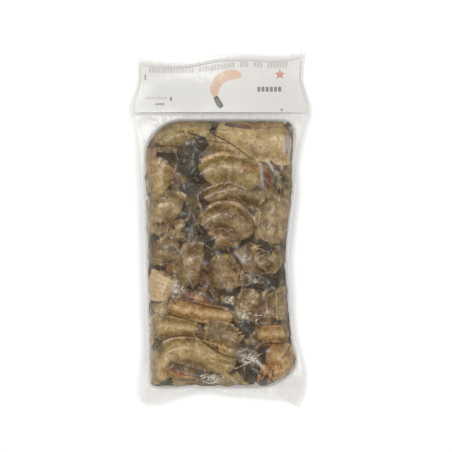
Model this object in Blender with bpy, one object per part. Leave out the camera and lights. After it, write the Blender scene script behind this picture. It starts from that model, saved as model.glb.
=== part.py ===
"""A sealed clear pouch of frozen raw tiger prawns, headless and in the shell, lying on its back.

The pouch is one closed solid: a lumpy block of prawns under tight film, the thin flaps of film
round it and a flat header above it. A stiff card lies on the front of the header.
X runs across the pouch, Y towards its header and Z up, out of the face that is shown.
The origin is the middle of the outline, on the surface that the pouch lies on.
"""

from collections import namedtuple

import bmesh
import bpy
import numpy as np

MM = 0.001

# Outline of the film, laid flat: (place along the pouch, edge) and (place across, edge), in mm.
FILM_FOOT = -117.0
FILM_HEAD = 121.0
FILM_LEFT = (
    (-117.0, -55.8),
    (-105.0, -54.6),
    (-94.0, -52.0),
    (-55.0, -51.8),
    (-15.0, -53.0),
    (35.0, -54.3),
    (58.0, -55.5),
    (69.0, -57.2),
    (80.5, -61.8),
    (104.0, -57.2),
    (121.0, -57.2),
)
FILM_RIGHT = (
    (-117.0, 54.0),
    (-110.0, 57.2),
    (-86.0, 56.8),
    (-70.0, 51.4),
    (-58.0, 49.6),
    (-40.0, 49.0),
    (-16.0, 47.6),
    (8.0, 49.8),
    (30.0, 52.5),
    (48.0, 51.8),
    (60.0, 53.9),
    (70.0, 57.6),
    (80.0, 61.7),
    (104.0, 57.6),
    (121.0, 59.6),
)
FILM_TOP = (
    (-60.0, 119.3),
    (-45.0, 117.2),
    (-22.0, 117.0),
    (-2.0, 120.6),
    (20.0, 121.7),
    (44.0, 121.3),
    (60.0, 124.0),
)
FILM_BOTTOM = (
    (-57.0, -120.8),
    (-42.0, -119.7),
    (-31.0, -114.9),
    (-17.0, -111.3),
    (6.0, -113.8),
    (32.0, -116.3),
    (47.0, -119.8),
    (55.0, -124.6),
)

# Outline of the frozen block inside the film, in mm.
BLOCK_TOP = 76.0
BLOCK_BOTTOM = -110.5
BLOCK_LEFT = (
    (-111.0, -49.0),
    (-85.0, -49.8),
    (-40.0, -50.8),
    (10.0, -52.3),
    (38.0, -53.2),
    (55.0, -52.4),
    (76.0, -50.6),
)
BLOCK_RIGHT = (
    (-111.0, 46.0),
    (-92.0, 53.6),
    (-76.0, 50.6),
    (-58.0, 48.7),
    (-40.0, 48.1),
    (-16.0, 46.7),
    (8.0, 48.9),
    (30.0, 51.6),
    (48.0, 50.9),
    (62.0, 52.4),
    (76.0, 52.6),
)
TOP_RADII = (24.0, 9.0)
BOTTOM_RADII = (5.0, 19.0)

# Heights, in mm.
SEAM_HEIGHT = 9.5
VALLEY_HEIGHT = 21.0
FLAP_REST_HEIGHT = 2.4
FLAP_THICKNESS = 1.2
SHOULDER_WIDTH = 10.5
HEEL_WIDTH = 10.5
FLAP_FALL_LENGTH = 34.0
WAVE_LENGTH = 78.0
WAVE_HEIGHT = 0.9
DRAPE = 1.8

# Header card, in mm.
CARD_BOTTOM = 81.0
CARD_THICKNESS = 0.5
CARD_SIDE_MARGIN = 2.2
CARD_TOP_MARGIN = 4.6
CARD_CLEARANCE = 0.35

# Grid over the pouch: how many strips across, and along its foot, its block and its header.
STRIPS_ACROSS = 38
STRIPS_FOOT = 4
STRIPS_BLOCK = 58
STRIPS_HEADER = 9
CARD_STRIPS = (24, 8)
FLAT_ANGLE = 0.002

# Prawns of the upper layer, in mm: where the neck, the middle and the tail of each body lie in
# plan, how thick it is at the neck, and how high the top of its neck stands.
Prawn = namedtuple("Prawn", "neck middle tail thickness crest")
UPPER_PRAWNS = (
    Prawn((-41.0, 60.0), (-27.0, 67.0), (-6.5, 67.5), 17.0, 26.0),
    Prawn((46.0, 60.5), (25.0, 61.5), (-2.0, 71.0), 23.5, 28.0),
    Prawn((-40.0, 46.5), (-42.5, 36.0), (-38.0, 25.5), 18.0, 26.5),
    Prawn((25.0, 31.0), (7.0, 41.5), (-12.0, 36.5), 19.5, 27.5),
    Prawn((29.0, 20.5), (9.0, 26.0), (-10.0, 20.5), 12.5, 26.0),
    Prawn((-29.0, 12.0), (-41.0, 13.0), (-44.0, -4.0), 19.0, 26.0),
    Prawn((18.0, -4.0), (4.0, 9.0), (-11.5, 1.0), 17.5, 27.5),
    Prawn((33.5, -8.0), (38.5, 12.0), (42.0, -6.0), 19.0, 26.0),
    Prawn((-30.0, -14.0), (-39.0, -16.5), (-45.0, -25.0), 18.0, 25.5),
    Prawn((-13.0, -22.0), (-22.0, -25.5), (-20.5, -39.0), 20.5, 27.0),
    Prawn((4.5, -39.5), (3.0, -30.5), (-1.0, -18.0), 20.5, 27.5),
    Prawn((26.0, -22.5), (34.5, -20.5), (43.0, -24.5), 17.5, 26.0),
    Prawn((-37.5, -32.0), (-41.0, -40.5), (-42.5, -50.0), 16.0, 25.5),
    Prawn((-34.0, -53.0), (-12.0, -57.5), (9.0, -60.5), 11.5, 27.5),
    Prawn((-46.0, -67.0), (-30.0, -67.5), (-15.0, -70.0), 12.0, 26.5),
    Prawn((-9.0, -69.5), (3.0, -73.0), (14.0, -79.5), 16.0, 27.0),
    Prawn((24.0, -44.5), (20.5, -50.0), (15.5, -58.0), 16.5, 26.0),
    Prawn((38.5, -43.0), (40.5, -52.0), (40.0, -62.0), 18.0, 26.0),
    Prawn((27.5, -72.5), (37.0, -72.0), (47.0, -73.0), 10.0, 26.0),
    Prawn((34.0, -85.5), (44.0, -92.5), (36.0, -102.5), 17.0, 27.5),
    Prawn((7.5, -94.0), (-29.0, -83.5), (-42.0, -104.5), 17.0, 28.0),
)

# Prawns that show between them, deeper in the block.
DEEPER_PRAWNS = (
    Prawn((-13.0, 59.5), (1.0, 57.5), (15.0, 50.5), 9.5, 25.5),
    Prawn((-19.0, 58.0), (-22.0, 51.0), (-20.0, 38.0), 17.0, 23.5),
    Prawn((-48.0, 55.5), (-47.5, 51.0), (-43.0, 49.0), 8.0, 22.5),
    Prawn((48.0, 50.0), (47.5, 41.5), (46.0, 33.0), 9.0, 23.5),
    Prawn((34.0, 49.0), (36.5, 40.0), (39.0, 29.0), 14.0, 23.0),
    Prawn((24.0, 25.5), (36.0, 23.5), (46.0, 17.5), 12.0, 25.0),
    Prawn((-21.0, 16.5), (-19.0, 5.0), (-22.5, -8.0), 11.0, 24.0),
    Prawn((-24.0, 1.0), (-30.5, -2.5), (-33.0, -9.5), 12.5, 24.5),
    Prawn((-4.5, -8.0), (4.5, -5.0), (14.0, -11.5), 11.0, 24.5),
    Prawn((22.0, -8.0), (25.0, 3.0), (22.5, 14.0), 9.0, 23.5),
    Prawn((13.5, -13.0), (19.5, -25.0), (17.0, -37.0), 15.0, 24.5),
    Prawn((-28.5, -44.0), (-20.0, -46.5), (-11.0, -47.0), 10.0, 24.5),
    Prawn((-12.0, -45.0), (-6.0, -48.5), (0.0, -50.0), 9.0, 23.5),
    Prawn((1.0, -48.5), (6.5, -49.5), (11.0, -54.0), 9.0, 24.0),
    Prawn((26.5, -36.5), (34.5, -35.5), (43.0, -37.5), 10.0, 23.5),
    Prawn((9.5, -53.0), (13.0, -58.0), (20.0, -62.5), 11.0, 25.0),
    Prawn((29.5, -42.0), (31.0, -50.0), (31.0, -60.0), 9.5, 24.5),
    Prawn((16.0, -68.0), (21.0, -73.5), (22.0, -81.0), 12.0, 24.5),
    Prawn((8.5, -84.0), (15.5, -86.5), (24.0, -88.5), 9.5, 24.5),
    Prawn((19.0, -92.0), (23.5, -97.5), (26.5, -103.5), 11.0, 24.0),
    Prawn((-33.5, -94.5), (-25.0, -99.0), (-15.0, -101.0), 11.0, 24.0),
    Prawn((13.0, -99.0), (6.0, -102.0), (-3.0, -103.5), 11.0, 24.0),
    Prawn((-44.0, -58.5), (-40.0, -56.0), (-33.0, -51.5), 11.0, 25.5),
    Prawn((-45.5, -84.0), (-46.0, -95.5), (-43.5, -107.0), 10.5, 24.5),
    Prawn((-40.0, -107.0), (-33.0, -107.0), (-24.0, -106.0), 8.0, 23.0),
)
TAIL_SHARE = 0.66
CREST_FALL = 1.6
BODY_STEPS = 28
BODY_ROUNDNESS = 0.62

FILM_COLOUR = (0.62, 0.50, 0.33, 1.0)
CARD_COLOUR = (0.84, 0.82, 0.79, 1.0)


def along_curve(stations, at):
    """Offsets of a smooth curve through (place, offset) stations at the given places."""
    places, offsets = np.array(stations).T
    slopes = np.gradient(offsets, places)
    first = np.clip(np.searchsorted(places, at) - 1, 0, len(places) - 2)
    span = places[first + 1] - places[first]
    t = np.clip((at - places[first]) / span, 0.0, 1.0)
    start = (2 * t**3 - 3 * t**2 + 1) * offsets[first] + (t**3 - 2 * t**2 + t) * span * slopes[first]
    end = (3 * t**2 - 2 * t**3) * offsets[first + 1] + (t**3 - t**2) * span * slopes[first + 1]
    return start + end


def smooth_step(low, high, value):
    """Rises smoothly from 0 at low to 1 at high."""
    t = np.clip((value - low) / (high - low), 0.0, 1.0)
    return t * t * (3 - 2 * t)


def depth_in_block(x, y):
    """How far a point in plan lies inside the frozen block's outline, negative outside it."""
    side = np.minimum(x - along_curve(BLOCK_LEFT, y), along_curve(BLOCK_RIGHT, y) - x)
    end = np.minimum(y - BLOCK_BOTTOM, BLOCK_TOP - y)
    left, right = (np.where(y > 0, *radii) for radii in zip(TOP_RADII, BOTTOM_RADII))
    radius = np.where(x < 0, left, right)
    rounded = radius - np.hypot(radius - side, radius - end)
    in_corner = (side < radius) & (end < radius)
    return np.where(in_corner, rounded, np.minimum(side, end))


def flap_middle(x, y):
    """Height of the middle of the film where its two sheets lie together."""
    away = smooth_step(0.0, FLAP_FALL_LENGTH, -depth_in_block(x, y))
    wave = WAVE_HEIGHT * np.sin(2 * np.pi * x / WAVE_LENGTH + 0.9)
    return SEAM_HEIGHT + away * (FLAP_REST_HEIGHT - SEAM_HEIGHT + wave)


def body_line(prawn, share):
    """Points of a prawn's body in plan, from its neck at 0 to its tail at 1."""
    neck, middle, tail = (np.array(point) for point in (prawn.neck, prawn.middle, prawn.tail))
    share = share[:, None]
    by_neck = 2 * (share - 0.5) * (share - 1) * neck
    by_middle = 4 * share * (1 - share) * middle
    by_tail = 2 * share * (share - 0.5) * tail
    return by_neck + by_middle + by_tail


def prawn_tops(x, y):
    """Height of the prawns' backs over the plan, or the valley height where there are none."""
    share = np.linspace(0.0, 1.0, BODY_STEPS)
    height = np.full(x.shape, VALLEY_HEIGHT)
    for prawn in UPPER_PRAWNS + DEEPER_PRAWNS:
        radii = prawn.thickness / 2 * (1 - (1 - TAIL_SHARE) * share**1.4)
        crests = prawn.crest - CREST_FALL * share**2
        for (px, py), radius, crest in zip(body_line(prawn, share), radii, crests):
            inside = np.clip(1 - ((x - px) ** 2 + (y - py) ** 2) / radius**2, 0.0, None)
            back = VALLEY_HEIGHT + (crest - VALLEY_HEIGHT) * inside**BODY_ROUNDNESS
            height = np.maximum(height, back)
    return height


def draped_tops(x, y):
    """Height of film pulled over the prawns, which spans the narrow gaps between them."""
    around = np.linspace(0.0, 2 * np.pi, 8, endpoint=False)
    near = [prawn_tops(x + DRAPE * np.cos(a), y + DRAPE * np.sin(a)) for a in around]
    return 0.35 * prawn_tops(x, y) + 0.65 * np.mean(near, axis=0)


def rise(depth, width):
    """Share of its full height that a rounded edge has reached at a depth inside it."""
    return np.sin(np.pi / 2 * np.clip(depth / width, 0.0, 1.0))


def pouch_upper(x, y):
    """Height of the pouch's shown face."""
    flap = flap_middle(x, y)
    shoulder = rise(depth_in_block(x, y), SHOULDER_WIDTH)
    return flap + FLAP_THICKNESS / 2 + shoulder * (draped_tops(x, y) - flap - FLAP_THICKNESS / 2)


def pouch_lower(x, y):
    """Height of the pouch's underside, which is flat where the block rests."""
    flap = flap_middle(x, y)
    heel = rise(depth_in_block(x, y), HEEL_WIDTH)
    return (flap - FLAP_THICKNESS / 2) * (1 - heel)


def pouch_plan(across, along):
    """Plan of the pouch's grid, from shares of its width and of its rows."""
    row_places = np.concatenate(
        (
            np.linspace(FILM_FOOT, BLOCK_BOTTOM, STRIPS_FOOT + 1),
            np.linspace(BLOCK_BOTTOM, BLOCK_TOP + 4.0, STRIPS_BLOCK + 1)[1:],
            np.linspace(BLOCK_TOP + 4.0, FILM_HEAD, STRIPS_HEADER + 1)[1:],
        )
    )
    level = np.interp(along, np.linspace(0.0, 1.0, len(row_places)), row_places)
    left = along_curve(FILM_LEFT, level)
    x = left + across * (along_curve(FILM_RIGHT, level) - left)
    bottom = along_curve(FILM_BOTTOM, x)
    top = along_curve(FILM_TOP, x)
    share = (level - FILM_FOOT) / (FILM_HEAD - FILM_FOOT)
    return x, bottom + share * (top - bottom)


def card_plan(across, along):
    """Plan of the header card's grid."""
    level = CARD_BOTTOM + along * (FILM_HEAD - CARD_TOP_MARGIN - CARD_BOTTOM)
    left = along_curve(FILM_LEFT, level) + CARD_SIDE_MARGIN
    right = along_curve(FILM_RIGHT, level) - CARD_SIDE_MARGIN
    x = left + across * (right - left)
    top = along_curve(FILM_TOP, x) - CARD_TOP_MARGIN
    return x, CARD_BOTTOM + along * (top - CARD_BOTTOM)


def card_lower(x, y):
    """Height of the card's back, just clear of the film under it."""
    return flap_middle(x, y) + FLAP_THICKNESS / 2 + CARD_CLEARANCE


def card_upper(x, y):
    """Height of the card's printed face."""
    return card_lower(x, y) + CARD_THICKNESS


def closed_sheet(name, strips, plan, lower, upper):
    """A closed solid between two heights over one grid, which is joined round its rim."""
    mesh = bpy.data.meshes.new(name)
    shape = bmesh.new()
    bmesh.ops.create_grid(shape, x_segments=strips[0], y_segments=strips[1], size=0.5)
    raised = bmesh.ops.extrude_face_region(shape, geom=shape.faces[:])["geom"]
    raised = [item for item in raised if isinstance(item, bmesh.types.BMVert)]
    bmesh.ops.translate(shape, verts=raised, vec=(0.0, 0.0, 1.0))
    corners = np.array([vert.co for vert in shape.verts])
    x, y = plan(corners[:, 0] + 0.5, corners[:, 1] + 0.5)
    z = np.where(corners[:, 2] > 0.5, upper(x, y), lower(x, y))
    for vert, place in zip(shape.verts, zip(x * MM, y * MM, z * MM)):
        vert.co = place
    bmesh.ops.recalc_face_normals(shape, faces=shape.faces[:])
    shape.to_mesh(mesh)
    shape.free()
    return mesh


def merge_flat_faces(mesh):
    """Joins the faces of the flat underside into one."""
    shape = bmesh.new()
    shape.from_mesh(mesh)
    flat = [face for face in shape.faces if max(vert.co.z for vert in face.verts) < 1e-7]
    edges = {edge for face in flat for edge in face.edges}
    verts = {vert for face in flat for vert in face.verts}
    bmesh.ops.dissolve_limit(shape, angle_limit=FLAT_ANGLE, verts=list(verts), edges=list(edges))
    shape.to_mesh(mesh)
    shape.free()


def finish(name, colour, roughness):
    """A plain material of one colour."""
    material = bpy.data.materials.new(name)
    material.use_nodes = True
    shader = material.node_tree.nodes["Principled BSDF"]
    shader.inputs["Base Color"].default_value = colour
    shader.inputs["Roughness"].default_value = roughness
    shader.inputs["Metallic"].default_value = 0.0
    material.diffuse_color = colour
    return material


def add_object(mesh, material, collection):
    """An object that shows a mesh in one material, shaded smooth but for its sharp rim."""
    mesh.materials.append(material)
    mesh.shade_smooth()
    mesh.set_sharp_from_angle(angle=np.radians(50))
    item = bpy.data.objects.new(mesh.name, mesh)
    collection.objects.link(item)
    return item


def make_pouch(collection):
    """The block of prawns in its film, with the flaps and the header."""
    strips = (STRIPS_ACROSS, STRIPS_FOOT + STRIPS_BLOCK + STRIPS_HEADER)
    mesh = closed_sheet("pouch", strips, pouch_plan, pouch_lower, pouch_upper)
    merge_flat_faces(mesh)
    return add_object(mesh, finish("clear film over prawns", FILM_COLOUR, 0.3), collection)


def make_header_card(collection):
    """The stiff card on the header."""
    mesh = closed_sheet("header_card", CARD_STRIPS, card_plan, card_lower, card_upper)
    return add_object(mesh, finish("coated card", CARD_COLOUR, 0.5), collection)


def main():
    for item in list(bpy.data.objects):
        bpy.data.objects.remove(item, do_unlink=True)
    collection = bpy.data.collections.new("frozen prawn pouch")
    bpy.context.scene.collection.children.link(collection)
    make_pouch(collection)
    make_header_card(collection)


if __name__ == "__main__":
    main()
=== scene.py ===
"""The looks of a sealed clear pouch of frozen raw tiger prawns with a stiff white header card.

The prawns are headless, in the shell and frozen flat into one block. Clear film lies tight over
them, and a printed card lies in the film above them. The pouch lies on its back, its header
towards +Y. Sizes here are in millimetres, in the frame's own axes, and meshes are in metres.
"""

import functools
import math
from collections import namedtuple

import bmesh
import bpy
import numpy as np
from bpy.props import FloatProperty, FloatVectorProperty, IntProperty, PointerProperty
from bpy.types import Operator, Panel, PropertyGroup
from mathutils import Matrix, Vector


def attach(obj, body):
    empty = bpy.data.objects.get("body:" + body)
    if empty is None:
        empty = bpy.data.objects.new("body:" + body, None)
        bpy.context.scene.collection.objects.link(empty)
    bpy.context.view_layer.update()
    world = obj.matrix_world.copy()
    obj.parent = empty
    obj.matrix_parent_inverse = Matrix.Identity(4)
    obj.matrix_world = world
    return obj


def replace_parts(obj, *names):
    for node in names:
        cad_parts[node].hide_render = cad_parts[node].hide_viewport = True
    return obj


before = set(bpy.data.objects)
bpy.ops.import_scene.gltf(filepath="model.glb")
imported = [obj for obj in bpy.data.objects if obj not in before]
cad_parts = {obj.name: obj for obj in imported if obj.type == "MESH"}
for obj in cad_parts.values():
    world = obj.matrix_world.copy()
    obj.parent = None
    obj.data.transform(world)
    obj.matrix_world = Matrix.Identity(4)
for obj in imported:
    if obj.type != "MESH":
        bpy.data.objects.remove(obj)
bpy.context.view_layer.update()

bl_info = {
    "name": "Frozen Prawn Pouch",
    "version": (1, 0, 0),
    "blender": (4, 5, 0),
    "location": "3D View > Sidebar > Prawn Pouch",
    "description": "Builds the film, prawns, ice and header card of a frozen pouch",
    "category": "Mesh",
}

MM = 0.001
BODY = "root"


def table(kind, *rows):
    """A table whose rows all have the named columns of one kind."""
    return tuple(kind(*row) for row in rows)


# Outline of the film, as (place along the pouch, edge) and (place across it, edge).
FILM_FOOT = -117.0
FILM_HEAD = 121.0
FILM_LEFT = (
    (-117.0, -55.8), (-105.0, -54.6), (-94.0, -52.0), (-55.0, -51.8), (-15.0, -53.0),
    (35.0, -54.3), (58.0, -55.5), (69.0, -57.2), (80.5, -61.8), (104.0, -57.2),
    (121.0, -57.2),
)
FILM_RIGHT = (
    (-117.0, 54.0), (-110.0, 57.2), (-86.0, 56.8), (-70.0, 51.4), (-58.0, 49.6),
    (-40.0, 49.0), (-16.0, 47.6), (8.0, 49.8), (30.0, 52.5), (48.0, 51.8),
    (60.0, 53.9), (70.0, 57.6), (80.0, 61.7), (104.0, 57.6), (121.0, 59.6),
)
FILM_TOP = (
    (-60.0, 119.3), (-45.0, 117.2), (-22.0, 117.0), (-2.0, 120.6), (20.0, 121.7),
    (44.0, 121.3), (60.0, 124.0),
)
FILM_BOTTOM = (
    (-57.0, -120.8), (-42.0, -119.7), (-31.0, -114.9), (-17.0, -111.3), (6.0, -113.8),
    (32.0, -116.3), (47.0, -119.8), (55.0, -124.6),
)

# Outline of the frozen block.
BLOCK_TOP = 76.0
BLOCK_BOTTOM = -110.5
BLOCK_LEFT = (
    (-111.0, -49.0), (-85.0, -49.8), (-40.0, -50.8), (10.0, -52.3), (38.0, -53.2),
    (55.0, -52.4), (76.0, -50.6),
)
BLOCK_RIGHT = (
    (-111.0, 46.0), (-92.0, 53.6), (-76.0, 50.6), (-58.0, 48.7), (-40.0, 48.1),
    (-16.0, 46.7), (8.0, 48.9), (30.0, 51.6), (48.0, 50.9), (62.0, 52.4),
    (76.0, 52.6),
)
TOP_RADII = (24.0, 9.0)
BOTTOM_RADII = (5.0, 19.0)

# Heights and widths of the pouch's form. The film spans gaps between prawns that are narrower than
# about twice the drape, and its height there is mostly that of what lies round them.
SEAM_HEIGHT = 9.5
VALLEY_HEIGHT = 21.0
FLAP_REST_HEIGHT = 2.4
FLAP_THICKNESS = 1.2
SHOULDER_WIDTH = 10.5
HEEL_WIDTH = 10.5
FLAP_FALL_LENGTH = 34.0
WAVE_LENGTH = 78.0
WAVE_HEIGHT = 0.9
DRAPE = 1.8
SPANNING = 0.65

# Header card.
CARD_BOTTOM = 81.0
CARD_SIDE_MARGIN = 2.2
CARD_TOP_MARGIN = 4.6
CARD_FACE = 1.45
PRINT_THICKNESS = 0.07
PRINT_LIFT = 0.01

# Title on the card: rows of plain bars, as (left end, number of bars), under the card's top edge.
TITLE_WORDS = ((-49.5, 15), (-14.5, 12), (14.0, 3), (23.5, 3), (33.0, 7))
TITLE_PITCH = 2.1
TITLE_BAR_SHARE = 0.68
TITLE_HEIGHT = 3.8
TITLE_DROP = 0.4

# The other rows of plain bars on the card.
BarRow = namedtuple("BarRow", "left bottom count width height gap")
PALE_ROWS = table(BarRow, (-52.0, 90.4, 7, 1.5, 1.3, 0.7))
DARK_ROWS = table(
    BarRow,
    (26.0, 95.6, 6, 2.0, 3.4, 0.9),
    (-44.8, 86.0, 4, 1.0, 1.4, 0.6),
    (-52.6, 103.8, 1, 0.8, 3.8, 0.0),
    (-34.8, 88.9, 1, 1.2, 2.8, 0.0),
    (42.0, 82.0, 1, 1.5, 1.3, 0.0),
)

# Printed prawn, as (across, along, half width) stations, and printed star.
PRINTED_BODY = (
    (15.0, 106.4, 2.6),
    (8.0, 107.6, 3.5),
    (0.6, 104.8, 3.7),
    (-3.4, 98.8, 3.3),
    (-3.8, 91.6, 2.4),
)
PRINTED_TAIL = ((-3.4, 92.6, 1.5), (-1.4, 88.2, 2.0), (1.2, 84.2, 1.9))
STAR_PLACE = (41.7, 107.8)
STAR_RADII = (3.9, 1.6)

# How the film lies: the gap between its two sheets in the flaps, how far it stands above the flap
# over the card, the width of the heat seals, and how far in from its edge the two sheets part.
SHEET_GAP = 0.3
SEALED_GAP = 0.06
CARD_COVER = 1.75
SEAL_WIDTH = 5.0
EDGE_WIDTH = 4.5

# How close the block's pieces come to the film over them and beside them, and how softly the film
# presses them. The prawns on top stay further down, which leaves room for scraps, legs and fans.
FILM_GAP = 0.3
UPPER_GAP = 1.0
SIDE_GAP = 0.8
PRESS = 0.7

# How far the block's uneven edge goes in, all round and along its foot, how far up that foot
# reaches and where it starts across the pouch.
RAGGED_EDGE = 1.8
RAGGED_FOOT = 4.5
RAGGED_REACH = 12.0
RAGGED_FROM = -28.0

# Grid for looking up the film's height.
MAP_REACH = (64.0, 126.0)
MAP_STEP = 1.0

# Prawns of the block: where the neck, middle and tail of each body lie in plan, its thickness at
# the neck, the height of its neck's top and the tone of its shell.
Prawn = namedtuple("Prawn", "neck middle tail thickness crest tone")
UPPER_PRAWNS = table(
    Prawn,
    ((-41.0, 60.0), (-27.0, 67.0), (-6.5, 67.5), 17.0, 26.0, "olive"),
    ((46.0, 60.5), (25.0, 61.5), (-2.0, 71.0), 23.5, 28.0, "beige"),
    ((-40.0, 46.5), (-42.5, 36.0), (-38.0, 25.5), 18.0, 26.5, "tan"),
    ((25.0, 31.0), (7.0, 41.5), (-12.0, 36.5), 19.5, 27.5, "olive"),
    ((29.0, 20.5), (9.0, 26.0), (-10.0, 20.5), 12.5, 26.0, "brown"),
    ((-29.0, 12.0), (-41.0, 13.0), (-44.0, -4.0), 19.0, 26.0, "grey"),
    ((18.0, -4.0), (4.0, 9.0), (-11.5, 1.0), 17.5, 27.5, "brown"),
    ((33.5, -8.0), (38.5, 12.0), (42.0, -6.0), 19.0, 26.0, "grey"),
    ((-30.0, -14.0), (-39.0, -16.5), (-45.0, -25.0), 18.0, 25.5, "brown"),
    ((-13.0, -22.0), (-22.0, -25.5), (-20.5, -39.0), 20.5, 27.0, "brown"),
    ((4.5, -39.5), (3.0, -30.5), (-1.0, -18.0), 20.5, 27.5, "brown"),
    ((26.0, -22.5), (34.5, -20.5), (43.0, -24.5), 17.5, 26.0, "brown"),
    ((-37.5, -32.0), (-41.0, -40.5), (-42.5, -50.0), 16.0, 25.5, "pink"),
    ((-34.0, -53.0), (-12.0, -57.5), (9.0, -60.5), 11.5, 27.5, "golden"),
    ((-46.0, -67.0), (-30.0, -67.5), (-15.0, -70.0), 12.0, 26.5, "tan"),
    ((-9.0, -69.5), (3.0, -73.0), (14.0, -79.5), 16.0, 27.0, "brown"),
    ((24.0, -44.5), (20.5, -50.0), (15.5, -58.0), 16.5, 26.0, "brown"),
    ((38.5, -43.0), (40.5, -52.0), (40.0, -62.0), 18.0, 26.0, "brown"),
    ((27.5, -72.5), (37.0, -72.0), (47.0, -73.0), 10.0, 26.0, "golden"),
    ((34.0, -85.5), (44.0, -92.5), (36.0, -102.5), 17.0, 27.5, "golden"),
    ((7.5, -94.0), (-29.0, -83.5), (-42.0, -104.5), 17.0, 28.0, "tan"),
)
DEEPER_PRAWNS = table(
    Prawn,
    ((-13.0, 59.5), (1.0, 57.5), (15.0, 50.5), 9.5, 25.5, "tan"),
    ((-19.0, 58.0), (-22.0, 51.0), (-20.0, 38.0), 17.0, 23.5, "dark"),
    ((-48.0, 55.5), (-47.5, 51.0), (-43.0, 49.0), 8.0, 22.5, "red"),
    ((48.0, 50.0), (47.5, 41.5), (46.0, 33.0), 9.0, 23.5, "brown"),
    ((34.0, 49.0), (36.5, 40.0), (39.0, 29.0), 14.0, 23.0, "dark"),
    ((24.0, 25.5), (36.0, 23.5), (46.0, 17.5), 12.0, 25.0, "brown"),
    ((-21.0, 16.5), (-19.0, 5.0), (-22.5, -8.0), 11.0, 24.0, "dark"),
    ((-24.0, 1.0), (-30.5, -2.5), (-33.0, -9.5), 12.5, 24.5, "tan"),
    ((-4.5, -8.0), (4.5, -5.0), (14.0, -11.5), 11.0, 24.5, "golden"),
    ((22.0, -8.0), (25.0, 3.0), (22.5, 14.0), 9.0, 23.5, "dark"),
    ((13.5, -13.0), (19.5, -25.0), (17.0, -37.0), 15.0, 24.5, "brown"),
    ((-28.5, -44.0), (-20.0, -46.5), (-11.0, -47.0), 10.0, 24.5, "brown"),
    ((-12.0, -45.0), (-6.0, -48.5), (0.0, -50.0), 9.0, 23.5, "dark"),
    ((1.0, -48.5), (6.5, -49.5), (11.0, -54.0), 9.0, 24.0, "olive"),
    ((26.5, -36.5), (34.5, -35.5), (43.0, -37.5), 10.0, 23.5, "dark"),
    ((9.5, -53.0), (13.0, -58.0), (20.0, -62.5), 11.0, 25.0, "olive"),
    ((29.5, -42.0), (31.0, -50.0), (31.0, -60.0), 9.5, 24.5, "golden"),
    ((16.0, -68.0), (21.0, -73.5), (22.0, -81.0), 12.0, 24.5, "dark"),
    ((8.5, -84.0), (15.5, -86.5), (24.0, -88.5), 9.5, 24.5, "grey"),
    ((19.0, -92.0), (23.5, -97.5), (26.5, -103.5), 11.0, 24.0, "brown"),
    ((-33.5, -94.5), (-25.0, -99.0), (-15.0, -101.0), 11.0, 24.0, "brown"),
    ((13.0, -99.0), (6.0, -102.0), (-3.0, -103.5), 11.0, 24.0, "beige"),
    ((-44.0, -58.5), (-40.0, -56.0), (-33.0, -51.5), 11.0, 25.5, "beige"),
    ((-45.5, -84.0), (-46.0, -95.5), (-43.5, -107.0), 10.5, 24.5, "beige"),
    ((-40.0, -107.0), (-33.0, -107.0), (-24.0, -106.0), 8.0, 23.0, "tan"),
)
TAIL_SHARE = 0.66
CREST_FALL = 1.6
BODY_STEPS = 28
BODY_ROUNDNESS = 0.62

# Rings of shell: where along the body each ends, how much each flares over the next, how far its
# rear edge bows back at the flank, and how deep its lower edge is scalloped. Then the body's cross
# section: its height and width for its thickness, how square it is, how narrow its belly, and how
# much it closes at its two ends.
RING_ENDS = np.array((0.0, 0.15, 0.31, 0.49, 0.66, 0.81, 1.0))
RING_FLARE = 0.055
RING_BOW = 0.035
SCALLOP = 0.03
FLATNESS = 0.80
FULLNESS = 1.38
ROUND_SIDE = 0.85
ROUND_TOP = 0.75
BELLY_NARROWING = 0.16
NECK_ROUNDING = 0.10
TAIL_ROUNDING = 0.45

# How lumpy and crooked a shell is, the share of a ring that its joint's dark line takes, and how
# far under the film a shell lies where its colour is fully painted shade, the ice's dark brown.
SHELL_LUMPS = 0.30
SHELL_BEND = 0.9
JOINT_WIDTH = 0.08
FULL_SHADE_DEPTH = 6.0

# Cut flesh: how far it stands out of the shell and how far in it reaches.
MEAT_OUT = 0.9
MEAT_IN = 2.5
MEAT_ROUGHNESS = 0.35

# Height of the necks of the prawns at the back of the pouch.
LOWER_CREST = 12.6

# The second layer of prawns, which shows in the gaps of the ones above: how far apart they lie and
# the height of their necks, half their length and their thickness, from least to most. Then how
# far under the film the deeper and the second prawns come.
SECOND_ROWS = 13.0
SECOND_COLUMNS = 21.0
SECOND_CREST = 22.4
SECOND_HALF = 13.0
SECOND_THICKNESS = (14.0, 18.0)
DEEPER_GAP = 1.5
SECOND_GAP = 2.1

# Shell tones in their order along the shell's colour ramp.
TONES = ("dark", "brown", "olive", "grey", "tan", "beige", "pink", "golden", "orange", "red")
SECOND_TONES = ("dark", "brown", "dark", "olive", "brown", "golden")

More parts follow.
